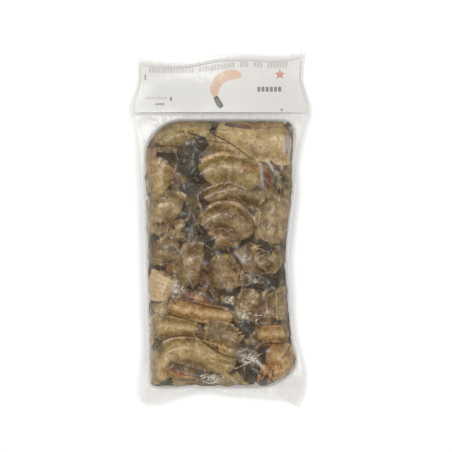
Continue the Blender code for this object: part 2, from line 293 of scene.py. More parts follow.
# Tail fans that show: where each joins its tail, its heading in degrees and its length. Then how
# deep under the film the blades lie, how far they spread, how much shorter each is than the one
# beside it and how wide they are for the fan's length.
Fan = namedtuple("Fan", "base heading length")
TAIL_FANS = table(
    Fan,
    ((-8.0, 58.5), 184.0, 18.0),
    ((-10.0, 62.0), 205.0, 18.0),
    ((-13.0, 45.0), 140.0, 17.0),
    ((-19.0, 58.0), 250.0, 19.0),
    ((-27.0, 58.0), 300.0, 14.0),
    ((-22.0, 34.0), 75.0, 12.0),
    ((44.0, 36.0), 262.0, 14.0),
    ((-28.0, 28.5), 352.0, 14.0),
    ((38.0, -13.5), 188.0, 15.0),
    ((43.0, -34.0), 184.0, 20.0),
    ((26.0, -33.0), 192.0, 12.0),
    ((25.0, -66.5), 196.0, 16.0),
    ((-1.0, -99.5), 184.0, 15.0),
    ((19.0, -93.0), 300.0, 15.0),
    ((27.0, -99.0), 325.0, 12.0),
    ((-41.5, -106.5), 352.0, 11.0),
    ((-7.5, -15.0), 100.0, 13.0),
    ((-45.5, -3.0), 264.0, 12.0),
    ((-19.0, 8.0), 265.0, 16.0),
    ((4.5, -48.5), 290.0, 10.0),
    ((12.0, -86.0), 340.0, 13.0),
)
FAN_DEPTH = 0.45
FAN_LAYER = 0.22
FAN_SPREAD = 13.0
FAN_SHORTENING = 0.07
MIDDLE_BLADE = 0.13
SIDE_BLADE = 0.18

# Swimmerets: where along the body they grow, how far under the film each of a pair lies and how
# wide they are. Then the thinnest part of a blade and the rib along its middle.
SWIMMERET_PLACES = (0.10, 0.24, 0.40, 0.57, 0.73)
SWIMMERET_DEPTHS = (0.6, 1.3)
SWIMMERET_WIDTH = 2.2
BLADE_THICKNESS = 0.22
BLADE_RIB = 0.30

# Scraps of shell that lie on the prawns: where each starts and ends, its width and its tone.
Scrap = namedtuple("Scrap", "start end width tone")
SCRAPS = table(
    Scrap,
    ((3.0, 72.4), (17.0, 70.6), 3.8, "dark"),
    ((12.0, 71.0), (28.0, 70.2), 4.4, "red"),
    ((20.0, 70.6), (28.5, 69.8), 2.0, "orange"),
    ((-13.5, 47.5), (3.0, 52.6), 3.0, "beige"),
    ((0.0, 52.8), (19.0, 48.6), 3.0, "beige"),
    ((46.6, 65.0), (47.4, 54.0), 4.4, "orange"),
    ((-45.0, 57.0), (-46.5, 46.0), 4.4, "red"),
    ((-46.5, 54.5), (-27.0, 53.5), 4.2, "dark"),
    ((29.0, 45.0), (35.0, 30.0), 6.0, "red"),
    ((34.5, 46.0), (41.0, 33.0), 5.5, "dark"),
    ((40.0, 35.5), (47.0, 24.0), 9.0, "dark"),
    ((14.0, -32.5), (27.0, -36.0), 5.5, "dark"),
    ((-24.0, -44.5), (-8.0, -50.0), 4.5, "red"),
    ((-34.5, -92.0), (-23.0, -96.5), 4.6, "dark"),
    ((-31.0, -101.0), (-18.0, -102.5), 2.4, "orange"),
    ((-34.0, -97.5), (-21.0, -99.5), 2.6, "red"),
    ((35.0, -91.0), (28.5, -104.0), 3.4, "golden"),
    ((31.0, -93.0), (26.0, -105.0), 3.2, "orange"),
    ((-35.0, -98.5), (-26.0, -101.5), 2.2, "orange"),
    ((36.5, -91.5), (33.0, -107.0), 3.0, "orange"),
    ((37.5, -91.5), (38.5, -106.5), 4.6, "golden"),
    ((38.5, -91.0), (44.0, -102.0), 3.4, "golden"),
    ((-15.0, -65.5), (-12.5, -76.0), 5.4, "brown"),
    ((3.0, -99.5), (12.0, -107.0), 4.2, "beige"),
    ((2.0, -109.5), (14.0, -109.5), 4.5, "tan"),
    ((14.0, -105.5), (21.0, -109.0), 2.6, "tan"),
    ((43.0, -42.5), (46.5, -48.0), 2.4, "dark"),
    ((-50.5, 20.0), (-50.0, -8.0), 3.4, "olive"),
    ((-47.5, -60.0), (-47.5, -82.0), 4.5, "beige"),
    ((-6.0, -88.5), (10.0, -93.0), 2.4, "olive"),
    ((-44.0, -12.5), (-30.0, -14.0), 4.0, "dark"),
    ((0.0, -51.5), (11.0, -50.0), 3.2, "dark"),
    ((27.0, -64.5), (42.0, -65.5), 2.2, "dark"),
)
SCRAP_DEPTH = 0.42

# Thin legs and feelers frozen over the prawns, each through its points, with its thickness and
# how frosted it is: dark at 0 and nearly white at 1. The dark ones are also painted shadow lines in
# the gaps between the prawns, and the frosted ones are also painted glints of the film.
Strand = namedtuple("Strand", "points thickness frost")
STRANDS = table(
    Strand,
    (((-6.5, 65.5), (4.0, 60.5), (14.0, 54.0), (25.0, 46.5)), 1.1, 0.0),
    (((-31.5, -47.5), (-20.0, -50.0), (-10.0, -53.0), (3.0, -55.5)), 1.3, 0.0),
    (((-34.0, -59.0), (-22.0, -62.5), (-14.0, -64.5)), 1.4, 0.0),
    (((-43.0, -78.5), (-36.0, -75.0), (-27.0, -73.5), (-18.0, -74.0)), 1.2, 0.0),
    (((-17.0, -73.0), (-8.0, -80.0), (2.0, -86.0), (12.0, -88.5)), 1.3, 0.0),
    (((22.0, -68.0), (31.0, -66.0), (42.0, -65.5)), 1.3, 0.0),
    (((29.5, -78.0), (38.0, -78.5), (48.0, -78.5)), 1.1, 0.0),
    (((48.5, -80.0), (46.0, -85.0), (42.0, -89.0)), 0.9, 0.0),
    (((26.5, -41.0), (28.5, -46.0), (28.0, -52.0)), 1.2, 0.0),
    (((44.5, -67.0), (45.5, -72.0), (45.0, -77.0)), 0.9, 0.0),
    (((-47.0, 56.5), (-38.0, 57.0), (-28.0, 57.0)), 0.9, 0.0),
    (((-13.0, 61.0), (-4.0, 60.0), (6.0, 58.5)), 0.7, 0.0),
    (((-40.0, -29.5), (-32.0, -30.0), (-27.0, -36.0)), 0.9, 0.0),
    (((-9.0, -20.0), (-7.0, -30.0), (-8.0, -40.0)), 1.1, 0.0),
    (((13.0, -18.0), (14.0, -28.0), (12.0, -38.0)), 1.1, 0.0),
    (((-48.0, -15.0), (-45.0, -19.0), (-42.0, -20.0)), 0.9, 0.0),
    (((10.0, 22.0), (20.0, 12.0), (24.0, 0.0)), 1.1, 0.0),
    (((-14.0, 12.0), (-18.0, 0.0), (-12.0, -12.0)), 1.1, 0.0),
    (((-14.0, -101.5), (-9.0, -100.5), (-4.5, -102.0), (-3.0, -105.5)), 1.3, 0.9),
    (((-12.0, -104.5), (-7.0, -106.8), (-1.0, -105.0), (1.5, -101.5)), 1.4, 0.8),
    (((1.0, -100.0), (4.0, -103.5), (9.0, -104.5), (14.0, -103.0)), 1.0, 0.8),
    (((9.0, -96.0), (16.0, -93.5), (23.0, -90.0), (29.0, -85.0)), 1.0, 0.9),
    (((14.0, -90.0), (20.0, -88.0), (26.0, -84.5)), 0.9, 0.8),
    (((12.0, -55.0), (19.0, -57.5), (26.0, -59.5), (33.0, -58.5)), 0.9, 0.8),
    (((24.0, -63.5), (29.0, -60.5), (36.0, -61.0)), 0.8, 0.8),
)
STRAND_DEPTH = 0.7

# Creases of the film that catch the light: where each starts and ends, its width and its height.
Crease = namedtuple("Crease", "start end width height")
FILM_CREASES = table(
    Crease,
    ((42.7, 66.0), (44.0, 49.0), 1.1, 0.9),
    ((45.0, 66.5), (45.6, 51.0), 1.0, 0.8),
    ((47.8, 64.5), (47.0, 46.0), 1.1, 0.8),
    ((30.8, 48.5), (37.0, 38.0), 1.0, 1.0),
    ((26.6, 46.5), (30.5, 25.0), 1.1, 0.8),
    ((40.6, 48.0), (42.4, 38.5), 1.0, 0.8),
    ((8.4, -14.5), (17.5, -25.5), 1.2, 0.8),
    ((-30.0, -33.0), (-33.5, -49.0), 1.0, 0.7),
    ((-50.5, 44.0), (-49.5, -40.0), 1.6, 0.6),
    ((-49.0, -45.0), (-48.0, -104.0), 1.6, 0.6),
    ((49.0, 20.0), (47.5, -64.0), 1.3, 0.5),
    ((54.5, -80.0), (56.0, -112.0), 1.6, 0.7),
    ((-44.0, -108.0), (-54.0, -119.0), 1.6, 0.7),
    ((-8.0, 79.0), (-6.5, 92.0), 2.2, 0.5),
    ((-55.0, 78.0), (-40.0, 72.0), 2.0, 0.7),
    ((58.0, 74.0), (46.0, 68.0), 1.8, 0.8),
    ((27.0, 88.0), (24.0, 78.0), 1.6, 0.4),
    ((20.0, -88.0), (32.0, -97.0), 1.0, 0.7),
)

# Crinkles all over the film: direction in degrees, size across and along, and height.
Crinkle = namedtuple("Crinkle", "direction across along height")
FILM_CRINKLES = table(
    Crinkle,
    (8.0, 7.0, 30.0, 0.30),
    (-24.0, 6.0, 22.0, 0.25),
    (70.0, 8.0, 26.0, 0.25),
    (115.0, 5.0, 16.0, 0.18),
    (-4.0, 3.4, 24.0, 0.16),
    (16.0, 2.8, 15.0, 0.12),
)
CRINKLE_SHARPNESS = 7

# Frost under the film: the middle of each patch, its half size across and along, its strength.
Frost = namedtuple("Frost", "middle size strength")
FROST_PATCHES = table(
    Frost,
    ((6.0, -49.0), (3.2, 2.4), 1.0),
    ((4.0, -55.0), (2.6, 1.8), 0.7),
    ((17.0, -59.5), (6.0, 3.0), 0.6),
    ((32.0, -57.0), (4.5, 3.5), 0.5),
    ((20.5, -89.0), (6.5, 4.0), 0.9),
    ((16.0, -83.0), (5.0, 2.0), 0.5),
    ((-5.0, -103.5), (7.5, 3.4), 0.9),
    ((17.0, -20.0), (3.0, 5.0), 0.5),
    ((-30.0, -41.0), (5.0, 7.0), 0.6),
    ((-42.0, -58.0), (6.0, 6.0), 0.4),
    ((27.0, 55.0), (10.0, 5.5), 0.35),
    ((-6.0, 51.5), (5.0, 3.0), 0.3),
    ((8.0, 30.0), (8.0, 5.0), 0.25),
    ((-44.0, -78.0), (4.0, 18.0), 0.3),
)

# Flakes of frost: the heading in degrees along which most are drawn out, the smallest size, how
# much larger they get, how thick they are for it, and how readily they grow where frost is strong.
FLAKE_HEADING = 35.0
SMALLEST_FLAKE = 0.5
FLAKE_GROWTH = 2.2
FLAKE_THICKNESS = 0.22
FLAKE_SHARE = 0.30
FLAKE_TRIES = 60000

# Ice between the prawns: its points across and along, and how far its top stays under the film.
ICE_GRID = (110, 200)
ICE_GAP = 2.6
ICE_SIDE_GAP = 2.2

# How cloudy the film is, from 0 for clear to 1: in its flaps and their creases, and on the block
# through frost, clouds, crinkles and creases. On the block the haze along the creases is partly
# folded film and partly painted highlight, the light lines that their shine gives. The card shows
# clearly through it.
FLAP_HAZE = 0.46
FLAP_CREASE_HAZE = 0.06
FROST_HAZE = 0.10
CLOUD_HAZE = 0.005
CRINKLE_HAZE = 0.015
CREASE_HAZE_AND_GLINT = 0.45
CLEAR_ON_CARD = 0.85

# Stage: how far the floor lies below the pouch, the place that the camera looks straight down on,
# and in metres the lights' places, their size and the floor's.
FLOOR_DROP = 0.3
VIEW_CENTRE = (4.1, 2.0)
KEY_PLACE = (-0.40, 0.45, 1.3)
FILL_PLACE = (0.50, -0.35, 1.3)
LIGHT_SIZE = 0.5
FLOOR_SIZE = 6.0
SKY_COLOUR = "#fbfbfb"

# Values at the points of a shell, which its material is painted by.
SHELL_VALUES = ("tone", "back", "ring", "joint", "frost", "sunk")

# Sockets of Blender's Mix node when it mixes colours.
FACTOR, FIRST, SECOND, MIXED = 0, 6, 7, 2

# Refractive indices: of ice, of polyethylene, print and paper, and the step from clear ice to the
# shell and flesh frozen in it, whose own index is about 1.52.
ICE_INDEX = 1.31
DRY_INDEX = 1.5
ICE_TO_SHELL = 1.16

# Share of light that the film mirrors when it is met head-on, and how much more it mirrors edge-on.
# Clean polyethylene mirrors 0.04 and 0.96 more. This film is scuffed and wet, so it mirrors less.
HEAD_ON_MIRROR = 0.03
EDGE_ON_MIRROR = 0.45

# Bands that Blender's Wave texture draws in one unit at a scale of 1.
WAVE_BANDS = 20 / (2 * math.pi)


def linear(hex_colour):
    """The linear colour of an sRGB hex value."""
    parts = [int(hex_colour[start : start + 2], 16) / 255 for start in (1, 3, 5)]
    return [part / 12.92 if part <= 0.04045 else ((part + 0.055) / 1.055) ** 2.4 for part in parts]


def rgba(colour):
    """A colour with the solid alpha that colour sockets want."""
    return (*colour, 1.0)


def waves(size):
    """The scale of a texture whose features are this many millimetres wide."""
    return 1 / (size * MM)


def angles_round(count):
    """This many angles, evenly round a full turn."""
    return np.linspace(0.0, 2 * np.pi, count, endpoint=False)


def heading_line(heading):
    """The direction in plan of a heading in radians."""
    return np.array((math.cos(heading), math.sin(heading)))


# Form of the pouch

def along_curve(stations, at):
    """Offsets of a smooth curve through (place, offset) stations at the given places."""
    places, offsets = np.array(stations).T
    slopes = np.gradient(offsets, places)
    first = np.clip(np.searchsorted(places, at) - 1, 0, len(places) - 2)
    span = places[first + 1] - places[first]
    t = np.clip((at - places[first]) / span, 0.0, 1.0)
    start = (2 * t**3 - 3 * t**2 + 1) * offsets[first] + (t**3 - 2 * t**2 + t) * span * slopes[first]
    end = (3 * t**2 - 2 * t**3) * offsets[first + 1] + (t**3 - t**2) * span * slopes[first + 1]
    return start + end


def smooth_step(low, high, value):
    """Rises smoothly from 0 at low to 1 at high."""
    t = np.clip((value - low) / (high - low), 0.0, 1.0)
    return t * t * (3 - 2 * t)


def depth_in_block(x, y):
    """How far a point in plan lies inside the frozen block's outline, negative outside it."""
    side = np.minimum(x - along_curve(BLOCK_LEFT, y), along_curve(BLOCK_RIGHT, y) - x)
    end = np.minimum(y - BLOCK_BOTTOM, BLOCK_TOP - y)
    left, right = (np.where(y > 0, *radii) for radii in zip(TOP_RADII, BOTTOM_RADII))
    radius = np.where(x < 0, left, right)
    rounded = radius - np.hypot(radius - side, radius - end)
    in_corner = (side < radius) & (end < radius)
    return np.where(in_corner, rounded, np.minimum(side, end))


def depth_in_film(x, y):
    """How far a point in plan lies inside the film's outline."""
    side = np.minimum(x - along_curve(FILM_LEFT, y), along_curve(FILM_RIGHT, y) - x)
    end = np.minimum(y - along_curve(FILM_BOTTOM, x), along_curve(FILM_TOP, x) - y)
    return np.minimum(side, end)


def depth_in_card(x, y):
    """How far a point in plan lies inside the header card's outline, negative outside it."""
    left = along_curve(FILM_LEFT, y) + CARD_SIDE_MARGIN
    right = along_curve(FILM_RIGHT, y) - CARD_SIDE_MARGIN
    top = along_curve(FILM_TOP, x) - CARD_TOP_MARGIN
    return np.minimum(np.minimum(x - left, right - x), np.minimum(y - CARD_BOTTOM, top - y))


def flap_middle(x, y):
    """Height of the middle of the film where its two sheets lie together."""
    away = smooth_step(0.0, FLAP_FALL_LENGTH, -depth_in_block(x, y))
    wave = WAVE_HEIGHT * np.sin(2 * np.pi * x / WAVE_LENGTH + 0.9)
    return SEAM_HEIGHT + away * (FLAP_REST_HEIGHT - SEAM_HEIGHT + wave)


def body_line(prawn, share):
    """Points of a prawn's body in plan, from its neck at 0 to its tail at 1."""
    neck, middle, tail = (np.array(point) for point in (prawn.neck, prawn.middle, prawn.tail))
    share = share[:, None]
    by_neck = 2 * (share - 0.5) * (share - 1) * neck
    by_middle = 4 * share * (1 - share) * middle
    by_tail = 2 * share * (share - 0.5) * tail
    return by_neck + by_middle + by_tail


def body_reach(prawn, share):
    """Half of a prawn's thickness along its body."""
    return prawn.thickness / 2 * (1 - (1 - TAIL_SHARE) * share**1.4)


def prawn_tops(x, y):
    """Height of the prawns' backs over the plan, or the valley height where there are none."""
    share = np.linspace(0.0, 1.0, BODY_STEPS)
    height = np.full(x.shape, VALLEY_HEIGHT)
    for prawn in UPPER_PRAWNS + DEEPER_PRAWNS:
        crests = prawn.crest - CREST_FALL * share**2
        for (px, py), radius, crest in zip(body_line(prawn, share), body_reach(prawn, share), crests):
            inside = np.clip(1 - ((x - px) ** 2 + (y - py) ** 2) / radius**2, 0.0, None)
            back = VALLEY_HEIGHT + (crest - VALLEY_HEIGHT) * inside**BODY_ROUNDNESS
            height = np.maximum(height, back)
    return height


def draped_tops(x, y):
    """Height of film pulled over the prawns, which spans the narrow gaps between them."""
    near = [prawn_tops(x + DRAPE * np.cos(a), y + DRAPE * np.sin(a)) for a in angles_round(8)]
    return (1 - SPANNING) * prawn_tops(x, y) + SPANNING * np.mean(near, axis=0)


def rise(depth, width):
    """Share of its full height that a rounded edge has reached at a depth inside it."""
    return np.sin(np.pi / 2 * np.clip(depth / width, 0.0, 1.0))


def pouch_upper(x, y):
    """Height of the pouch's shown face."""
    flap = flap_middle(x, y)
    shoulder = rise(depth_in_block(x, y), SHOULDER_WIDTH)
    return flap + FLAP_THICKNESS / 2 + shoulder * (draped_tops(x, y) - flap - FLAP_THICKNESS / 2)


def pouch_lower(x, y):
    """Height of the pouch's underside, which is flat where the block rests."""
    flap = flap_middle(x, y)
    heel = rise(depth_in_block(x, y), HEEL_WIDTH)
    return (flap - FLAP_THICKNESS / 2) * (1 - heel)


def height_map(surface):
    """A function that looks up the height of a face, worked out once on a grid."""
    xs = np.arange(-MAP_REACH[0], MAP_REACH[0] + MAP_STEP, MAP_STEP)
    ys = np.arange(-MAP_REACH[1], MAP_REACH[1] + MAP_STEP, MAP_STEP)
    heights = surface(*np.meshgrid(xs, ys, indexing="ij"))

    def look_up(x, y):
        column = np.clip((x - xs[0]) / MAP_STEP, 0, len(xs) - 1.001)
        row = np.clip((y - ys[0]) / MAP_STEP, 0, len(ys) - 1.001)
        i, j = column.astype(int), row.astype(int)
        u, v = column - i, row - j
        lower = heights[i, j] * (1 - u) + heights[i + 1, j] * u
        upper = heights[i, j + 1] * (1 - u) + heights[i + 1, j + 1] * u
        return lower * (1 - v) + upper * v

    return look_up


@functools.lru_cache(maxsize=None)
def face_heights():
    """Look-up functions for the pouch's upper and lower faces."""
    return height_map(pouch_upper), height_map(pouch_lower)


def smooth_noise(x, y, seed):
    """Seeded noise from -1 to 1 whose features are about one unit wide."""
    lattice = np.random.default_rng(seed).uniform(-1.0, 1.0, (64, 64))
    i, j = np.floor(x).astype(int), np.floor(y).astype(int)
    u, v = smooth_step(0.0, 1.0, x - i), smooth_step(0.0, 1.0, y - j)
    lower = lattice[i % 64, j % 64] * (1 - u) + lattice[(i + 1) % 64, j % 64] * u
    upper = lattice[i % 64, (j + 1) % 64] * (1 - u) + lattice[(i + 1) % 64, (j + 1) % 64] * u
    return lower * (1 - v) + upper * v


def soft_positive(value):
    """The value where it is well above 0, bending smoothly to 0 below it."""
    return PRESS * np.logaddexp(0.0, value / PRESS)


def settle(points, side_gap=SIDE_GAP, film_gap=FILM_GAP):
    """Presses points into the film: in from its sides, down from its front, up from its back."""
    x, y, z = points.reshape(-1, 3).T.copy()
    in_foot = (y < BLOCK_BOTTOM + RAGGED_REACH) & (x > RAGGED_FROM)
    ragged = np.where(in_foot, RAGGED_FOOT, RAGGED_EDGE)
    side_gap = side_gap + ragged * (0.5 + 0.5 * smooth_noise(x / 6 + 40, y / 6 + 40, 61))
    for _ in range(3):
        depth = depth_in_block(x, y)
        slope_x = (depth_in_block(x + 0.5, y) - depth) / 0.5
        slope_y = (depth_in_block(x, y + 0.5) - depth) / 0.5
        push = np.clip(side_gap - depth, 0.0, None) / np.maximum(slope_x**2 + slope_y**2, 0.3)
        x += push * slope_x
        y += push * slope_y
    upper, lower = face_heights()
    ceiling = upper(x, y) - film_gap
    bottom = lower(x, y) + film_gap
    z = ceiling - soft_positive(ceiling - z)
    z = bottom + soft_positive(z - bottom)
    return np.stack((x, y, z), axis=1).reshape(points.shape)


def frost_at(x, y):
    """Strength of the frost under the film, from 0 to 1."""
    frost = np.zeros(x.shape)
    for patch in FROST_PATCHES:
        across = (x - patch.middle[0]) / patch.size[0]
        along = (y - patch.middle[1]) / patch.size[1]
        frost = np.maximum(frost, patch.strength * np.exp(-(across**2 + along**2)))
    return frost


# Meshes

class Shapes:
    """Gathers closed shapes and the values at their points, for one mesh."""

    def __init__(self, *value_names):
        self.points = []
        self.faces = []
        self.values = {name: [] for name in value_names}
        self.count = 0

    def add_tube(self, rings, **values):
        """Adds rings of points joined into a closed tube, each end closed round its middle."""
        rows, around, _ = rings.shape
        ends = np.stack((rings[0].mean(axis=0), rings[-1].mean(axis=0)))
        self.points.append(np.concatenate((rings.reshape(-1, 3), ends)))
        for name, gathered in self.values.items():
            value = np.broadcast_to(values[name], (rows, around))
            gathered.append(np.append(value.ravel(), (value[0].mean(), value[-1].mean())))
        number = self.count + np.arange(rows * around).reshape(rows, around)
        after = np.roll(number, -1, axis=1)
        sides = np.stack((number[:-1], after[:-1], after[1:], number[1:]), axis=-1)
        first_end = self.count + rows * around
        self.faces += sides.reshape(-1, 4).tolist()
        self.faces += [(first_end, b, a) for a, b in zip(number[0], after[0])]
        self.faces += [(first_end + 1, a, b) for a, b in zip(number[-1], after[-1])]
        self.count = first_end + 2

    def add_sheet(self, x, y, lower, upper, **values):
        """Adds two grids of points, one over the other, joined round their rim."""
        rows, columns = x.shape
        for z in (lower, upper):
            self.points.append(np.stack((x, y, z), axis=-1).reshape(-1, 3))
        for name, gathered in self.values.items():
            gathered.append(np.tile(np.broadcast_to(values[name], x.shape).ravel(), 2))
        below = self.count + np.arange(rows * columns).reshape(rows, columns)
        above = below + rows * columns
        for grid, turn in ((below, -1), (above, 1)):
            corners = (grid[:-1, :-1], grid[1:, :-1], grid[1:, 1:], grid[:-1, 1:])
            self.faces += np.stack(corners[::turn], axis=-1).reshape(-1, 4).tolist()
        rim = [grid_rim(grid) for grid in (below, above)]
        rim_after = [np.roll(edge, -1) for edge in rim]
        walls = np.stack((rim[0], rim_after[0], rim_after[1], rim[1]), axis=-1)
        self.faces += walls.tolist()
        self.count += 2 * rows * columns

    def make_object(self, name, material, smooth_angle=60.0):
        """Makes the piece, with its faces turned outwards and its values at its points."""
        mesh = bpy.data.meshes.new(name)
        mesh.from_pydata(np.concatenate(self.points) * MM, [], self.faces)
        for value_name, gathered in self.values.items():
            attribute = mesh.attributes.new(value_name, "FLOAT", "POINT")
            attribute.data.foreach_set("value", np.concatenate(gathered).astype(np.float32))
        turned = bmesh.new()
        turned.from_mesh(mesh)
        bmesh.ops.recalc_face_normals(turned, faces=turned.faces[:])
        turned.to_mesh(mesh)
        turned.free()
        mesh.materials.append(material)
        mesh.shade_smooth()
        mesh.set_sharp_from_angle(angle=math.radians(smooth_angle))
        item = bpy.data.objects.new(name, mesh)
        bpy.context.scene.collection.objects.link(item)
        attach(item, BODY)
        return item


def grid_rim(grid):
    """The numbers round the rim of a grid, in order."""
    return np.concatenate((grid[:-1, 0], grid[-1, :-1], grid[:0:-1, -1], grid[0, :0:-1]))


def add_band(shapes, stations, ends, surface, thickness, **values):
    """Adds a curved band through (x, y, half width) stations, whose middle lies on a surface."""
    places = np.linspace(0.0, 1.0, len(stations))
    steps = np.linspace(0.0, 1.0, 30)
    x, y, half = (along_curve(np.column_stack((places, track)), steps) for track in np.array(stations).T)
    half = half * np.sqrt(np.clip(1 - np.abs(2 * steps - 1) ** ends, 0.02, 1.0))
    ahead = np.gradient(np.stack((x, y), axis=1), axis=0)
    ahead /= np.linalg.norm(ahead, axis=1, keepdims=True)
    angle = angles_round(12)
    px = x[:, None] - ahead[:, 1:] * half[:, None] * np.cos(angle)
    py = y[:, None] + ahead[:, :1] * half[:, None] * np.cos(angle)
    pz = surface(px, py) + thickness / 2 * np.sin(angle)
    shapes.add_tube(np.stack((px, py, pz), axis=-1), **values)


# Prawns

def body_frame(prawn, share):
    """A body's middle line in plan, its headings, and the directions to its back."""
    line = body_line(prawn, share)
    ahead = np.gradient(line, share, axis=0)
    ahead /= np.linalg.norm(ahead, axis=1, keepdims=True)
    left = np.stack((-ahead[:, 1], ahead[:, 0]), axis=1)
    bulge = np.array(prawn.middle) - (np.array(prawn.neck) + np.array(prawn.tail)) / 2
    turn = 1.0 if bulge @ left[len(share) // 2] >= 0 else -1.0
    return line, ahead, left * turn


def squared(value, power):
    """A sine or cosine that makes a round section fuller, as a power under 1 does."""
    return np.sign(value) * np.abs(value) ** power


def ring_places(share, up):
    """For points of a shell: the share of their ring that is passed, and the number of the ring."""
    bowed = np.clip(share[:, None] - RING_BOW * up**2 + 0.5 * RING_BOW, 0.0, 1.0)
    ring = np.clip(np.searchsorted(RING_ENDS, bowed, side="right") - 1, 0, len(RING_ENDS) - 2)
    length = RING_ENDS[ring + 1] - RING_ENDS[ring]
    passed = (bowed - RING_ENDS[ring]) / length
    return passed, ring


def tone_value(tone):
    """Where a tone lies along the shell's colour ramp."""
    return TONES.index(tone) / (len(TONES) - 1)


def add_shell(shapes, prawn, rows, around, film_gap):
    """Adds a prawn's body, lying on its side: rings of shell that overlap towards the tail."""
    share = np.linspace(0.0, 1.0, rows)
    line, _, back = body_frame(prawn, share)
    angle = angles_round(around)
    to_back = np.broadcast_to(squared(np.cos(angle), ROUND_SIDE), (rows, around))
    up = np.broadcast_to(squared(np.sin(angle), ROUND_TOP), (rows, around))
    passed, ring = ring_places(share, up)
    flare = 1 - RING_FLARE / 2 + RING_FLARE * passed**0.7
    by_neck = NECK_ROUNDING * (1 - smooth_step(0.0, 0.02, share))
    by_tail = TAIL_ROUNDING * smooth_step(0.93, 1.0, share)
    ends = 1 - by_neck - by_tail
    reach = (body_reach(prawn, share) * ends)[:, None] * flare
    belly = np.clip(-to_back, 0.0, 1.0)
    scallop = 1 + SCALLOP * belly**2 * (np.sin(np.pi * passed) - 0.4)
    aside = to_back * reach * scallop * FULLNESS
    height = reach * FLATNESS * (1 - BELLY_NARROWING * belly)
    crest = prawn.crest - CREST_FALL * share**2 - body_reach(prawn, share) * FLATNESS
    x = line[:, :1] + back[:, :1] * aside
    y = line[:, 1:] + back[:, 1:] * aside
    z = crest[:, None] + up * height
    seed = int(abs(prawn.neck[0] * 7 + prawn.neck[1] * 13)) + 5
    lumps = SHELL_LUMPS * smooth_noise(x / 2.4 + 40, y / 2.4 + 40, seed) * np.abs(up)
    bend = SHELL_BEND * smooth_noise(x / 6.0 + 40, y / 6.0 + 40, seed + 1)
    points = settle(np.stack((x + bend, y - bend, z + lumps), axis=-1), film_gap=film_gap)
    ceiling = face_heights()[0](points[..., 0], points[..., 1])
    joint = np.exp(-(np.minimum(passed, 1 - passed) / JOINT_WIDTH) ** 2) * (ring + passed > 0.2)
    shapes.add_tube(
        points,
        tone=tone_value(prawn.tone),
        back=(to_back + 1) / 2,
        ring=passed,
        joint=joint,
        frost=frost_at(points[..., 0], points[..., 1]),
        # Painted shade, which grows with the depth of a point under the film.
        sunk=np.clip((ceiling - points[..., 2]) / FULL_SHADE_DEPTH, 0.0, 1.0),
    )


def second_layer():
    """Prawns that lie at all angles under the ones on top and show in the gaps between them."""
    chance = np.random.default_rng(21)
    prawns = []
    for row, y in enumerate(np.arange(BLOCK_BOTTOM + 9.0, BLOCK_TOP - 4.0, SECOND_ROWS)):
        for x in np.arange(-44.0 + 9.0 * (row % 2), 50.0, SECOND_COLUMNS):
            turn = chance.uniform(0.0, 2 * np.pi)
            ahead = heading_line(turn) * SECOND_HALF
            bow = np.array((-ahead[1], ahead[0])) * chance.uniform(0.2, 0.5)
            middle = np.array((x, y)) + chance.uniform(-2.0, 2.0, 2)
            tone = SECOND_TONES[chance.integers(len(SECOND_TONES))]
            thickness = chance.uniform(*SECOND_THICKNESS)
            line = (middle - ahead, middle + bow, middle + ahead)
            prawns.append(Prawn(*line, thickness, SECOND_CREST, tone))
    return prawns


def under_layer():
    """The prawns of the pouch's underside: the upper ones mirrored, pressed flat below."""
    mirrored = []
    for prawn in UPPER_PRAWNS:
        line = [(-x, y) for x, y in (prawn.neck, prawn.middle, prawn.tail)]
        mirrored.append(Prawn(*line, prawn.thickness, LOWER_CREST, prawn.tone))
    return mirrored


def add_meat(shapes, prawn):
    """Adds the cut flesh that bulges from the neck of a prawn's shell."""
    share = np.linspace(0.0, 0.04, 2)
    line, ahead, back = body_frame(prawn, share)
    steps = np.linspace(0.0, 1.0, 7)
    angle = angles_round(18)
    reach = body_reach(prawn, share)[0] * 0.9 * np.sqrt(1 - (0.96 * steps[:, None]) ** 2)
    out = MEAT_OUT - (MEAT_OUT + MEAT_IN) * steps[:, None]
    x = line[0, 0] + ahead[0, 0] * out + back[0, 0] * reach * np.cos(angle)
    y = line[0, 1] + ahead[0, 1] * out + back[0, 1] * reach * np.cos(angle)
    middle = prawn.crest - body_reach(prawn, share)[0] * FLATNESS
    z = middle + reach * FLATNESS * np.sin(angle)
    rough = MEAT_ROUGHNESS * smooth_noise(x * 0.9 + 30, y * 0.9 + 30, 77)
    points = settle(np.stack((x + rough, y + rough, z + rough), axis=-1))
    shapes.add_tube(points)


def add_blade(shapes, base, depth, heading, length, width, curl, **values):
    """Adds a thin leaf of shell, as in a tail fan or a swimmeret, lying under the film."""
    steps = np.linspace(0.0, 1.0, 13)[:, None]
    angle = angles_round(40)
    half = width / 2 * np.sin(np.pi * (0.08 + 0.84 * steps)) ** 0.6
    ahead = heading_line(heading)
    side = np.array((-ahead[1], ahead[0]))
    across = half * np.cos(angle)
    x = base[0] + ahead[0] * length * steps + side[0] * across
    y = base[1] + ahead[1] * length * steps + side[1] * across
    rib = BLADE_RIB * np.exp(-((across / (0.16 * width)) ** 2))
    droop = curl * steps**2 + 1.2 * (across / width) ** 2
    ceiling = face_heights()[0](x, y)
    z = ceiling - depth - droop + (BLADE_THICKNESS + rib) * np.sin(angle)
    torn = 0.10 * width * smooth_noise(x / 1.6 + 40, y / 1.6 + 90, 17)
    points = settle(np.stack((x + torn, y - torn, z), axis=-1))
    vein = 0.5 + 0.5 * np.cos(3 * np.pi * np.cos(angle))
    signals = {
        "rim": np.abs(np.cos(angle)),
        "vein": vein,
        "tip": steps,
        "frost": frost_at(points[..., 0], points[..., 1]),
    }
    shapes.add_tube(points, **signals, **values)


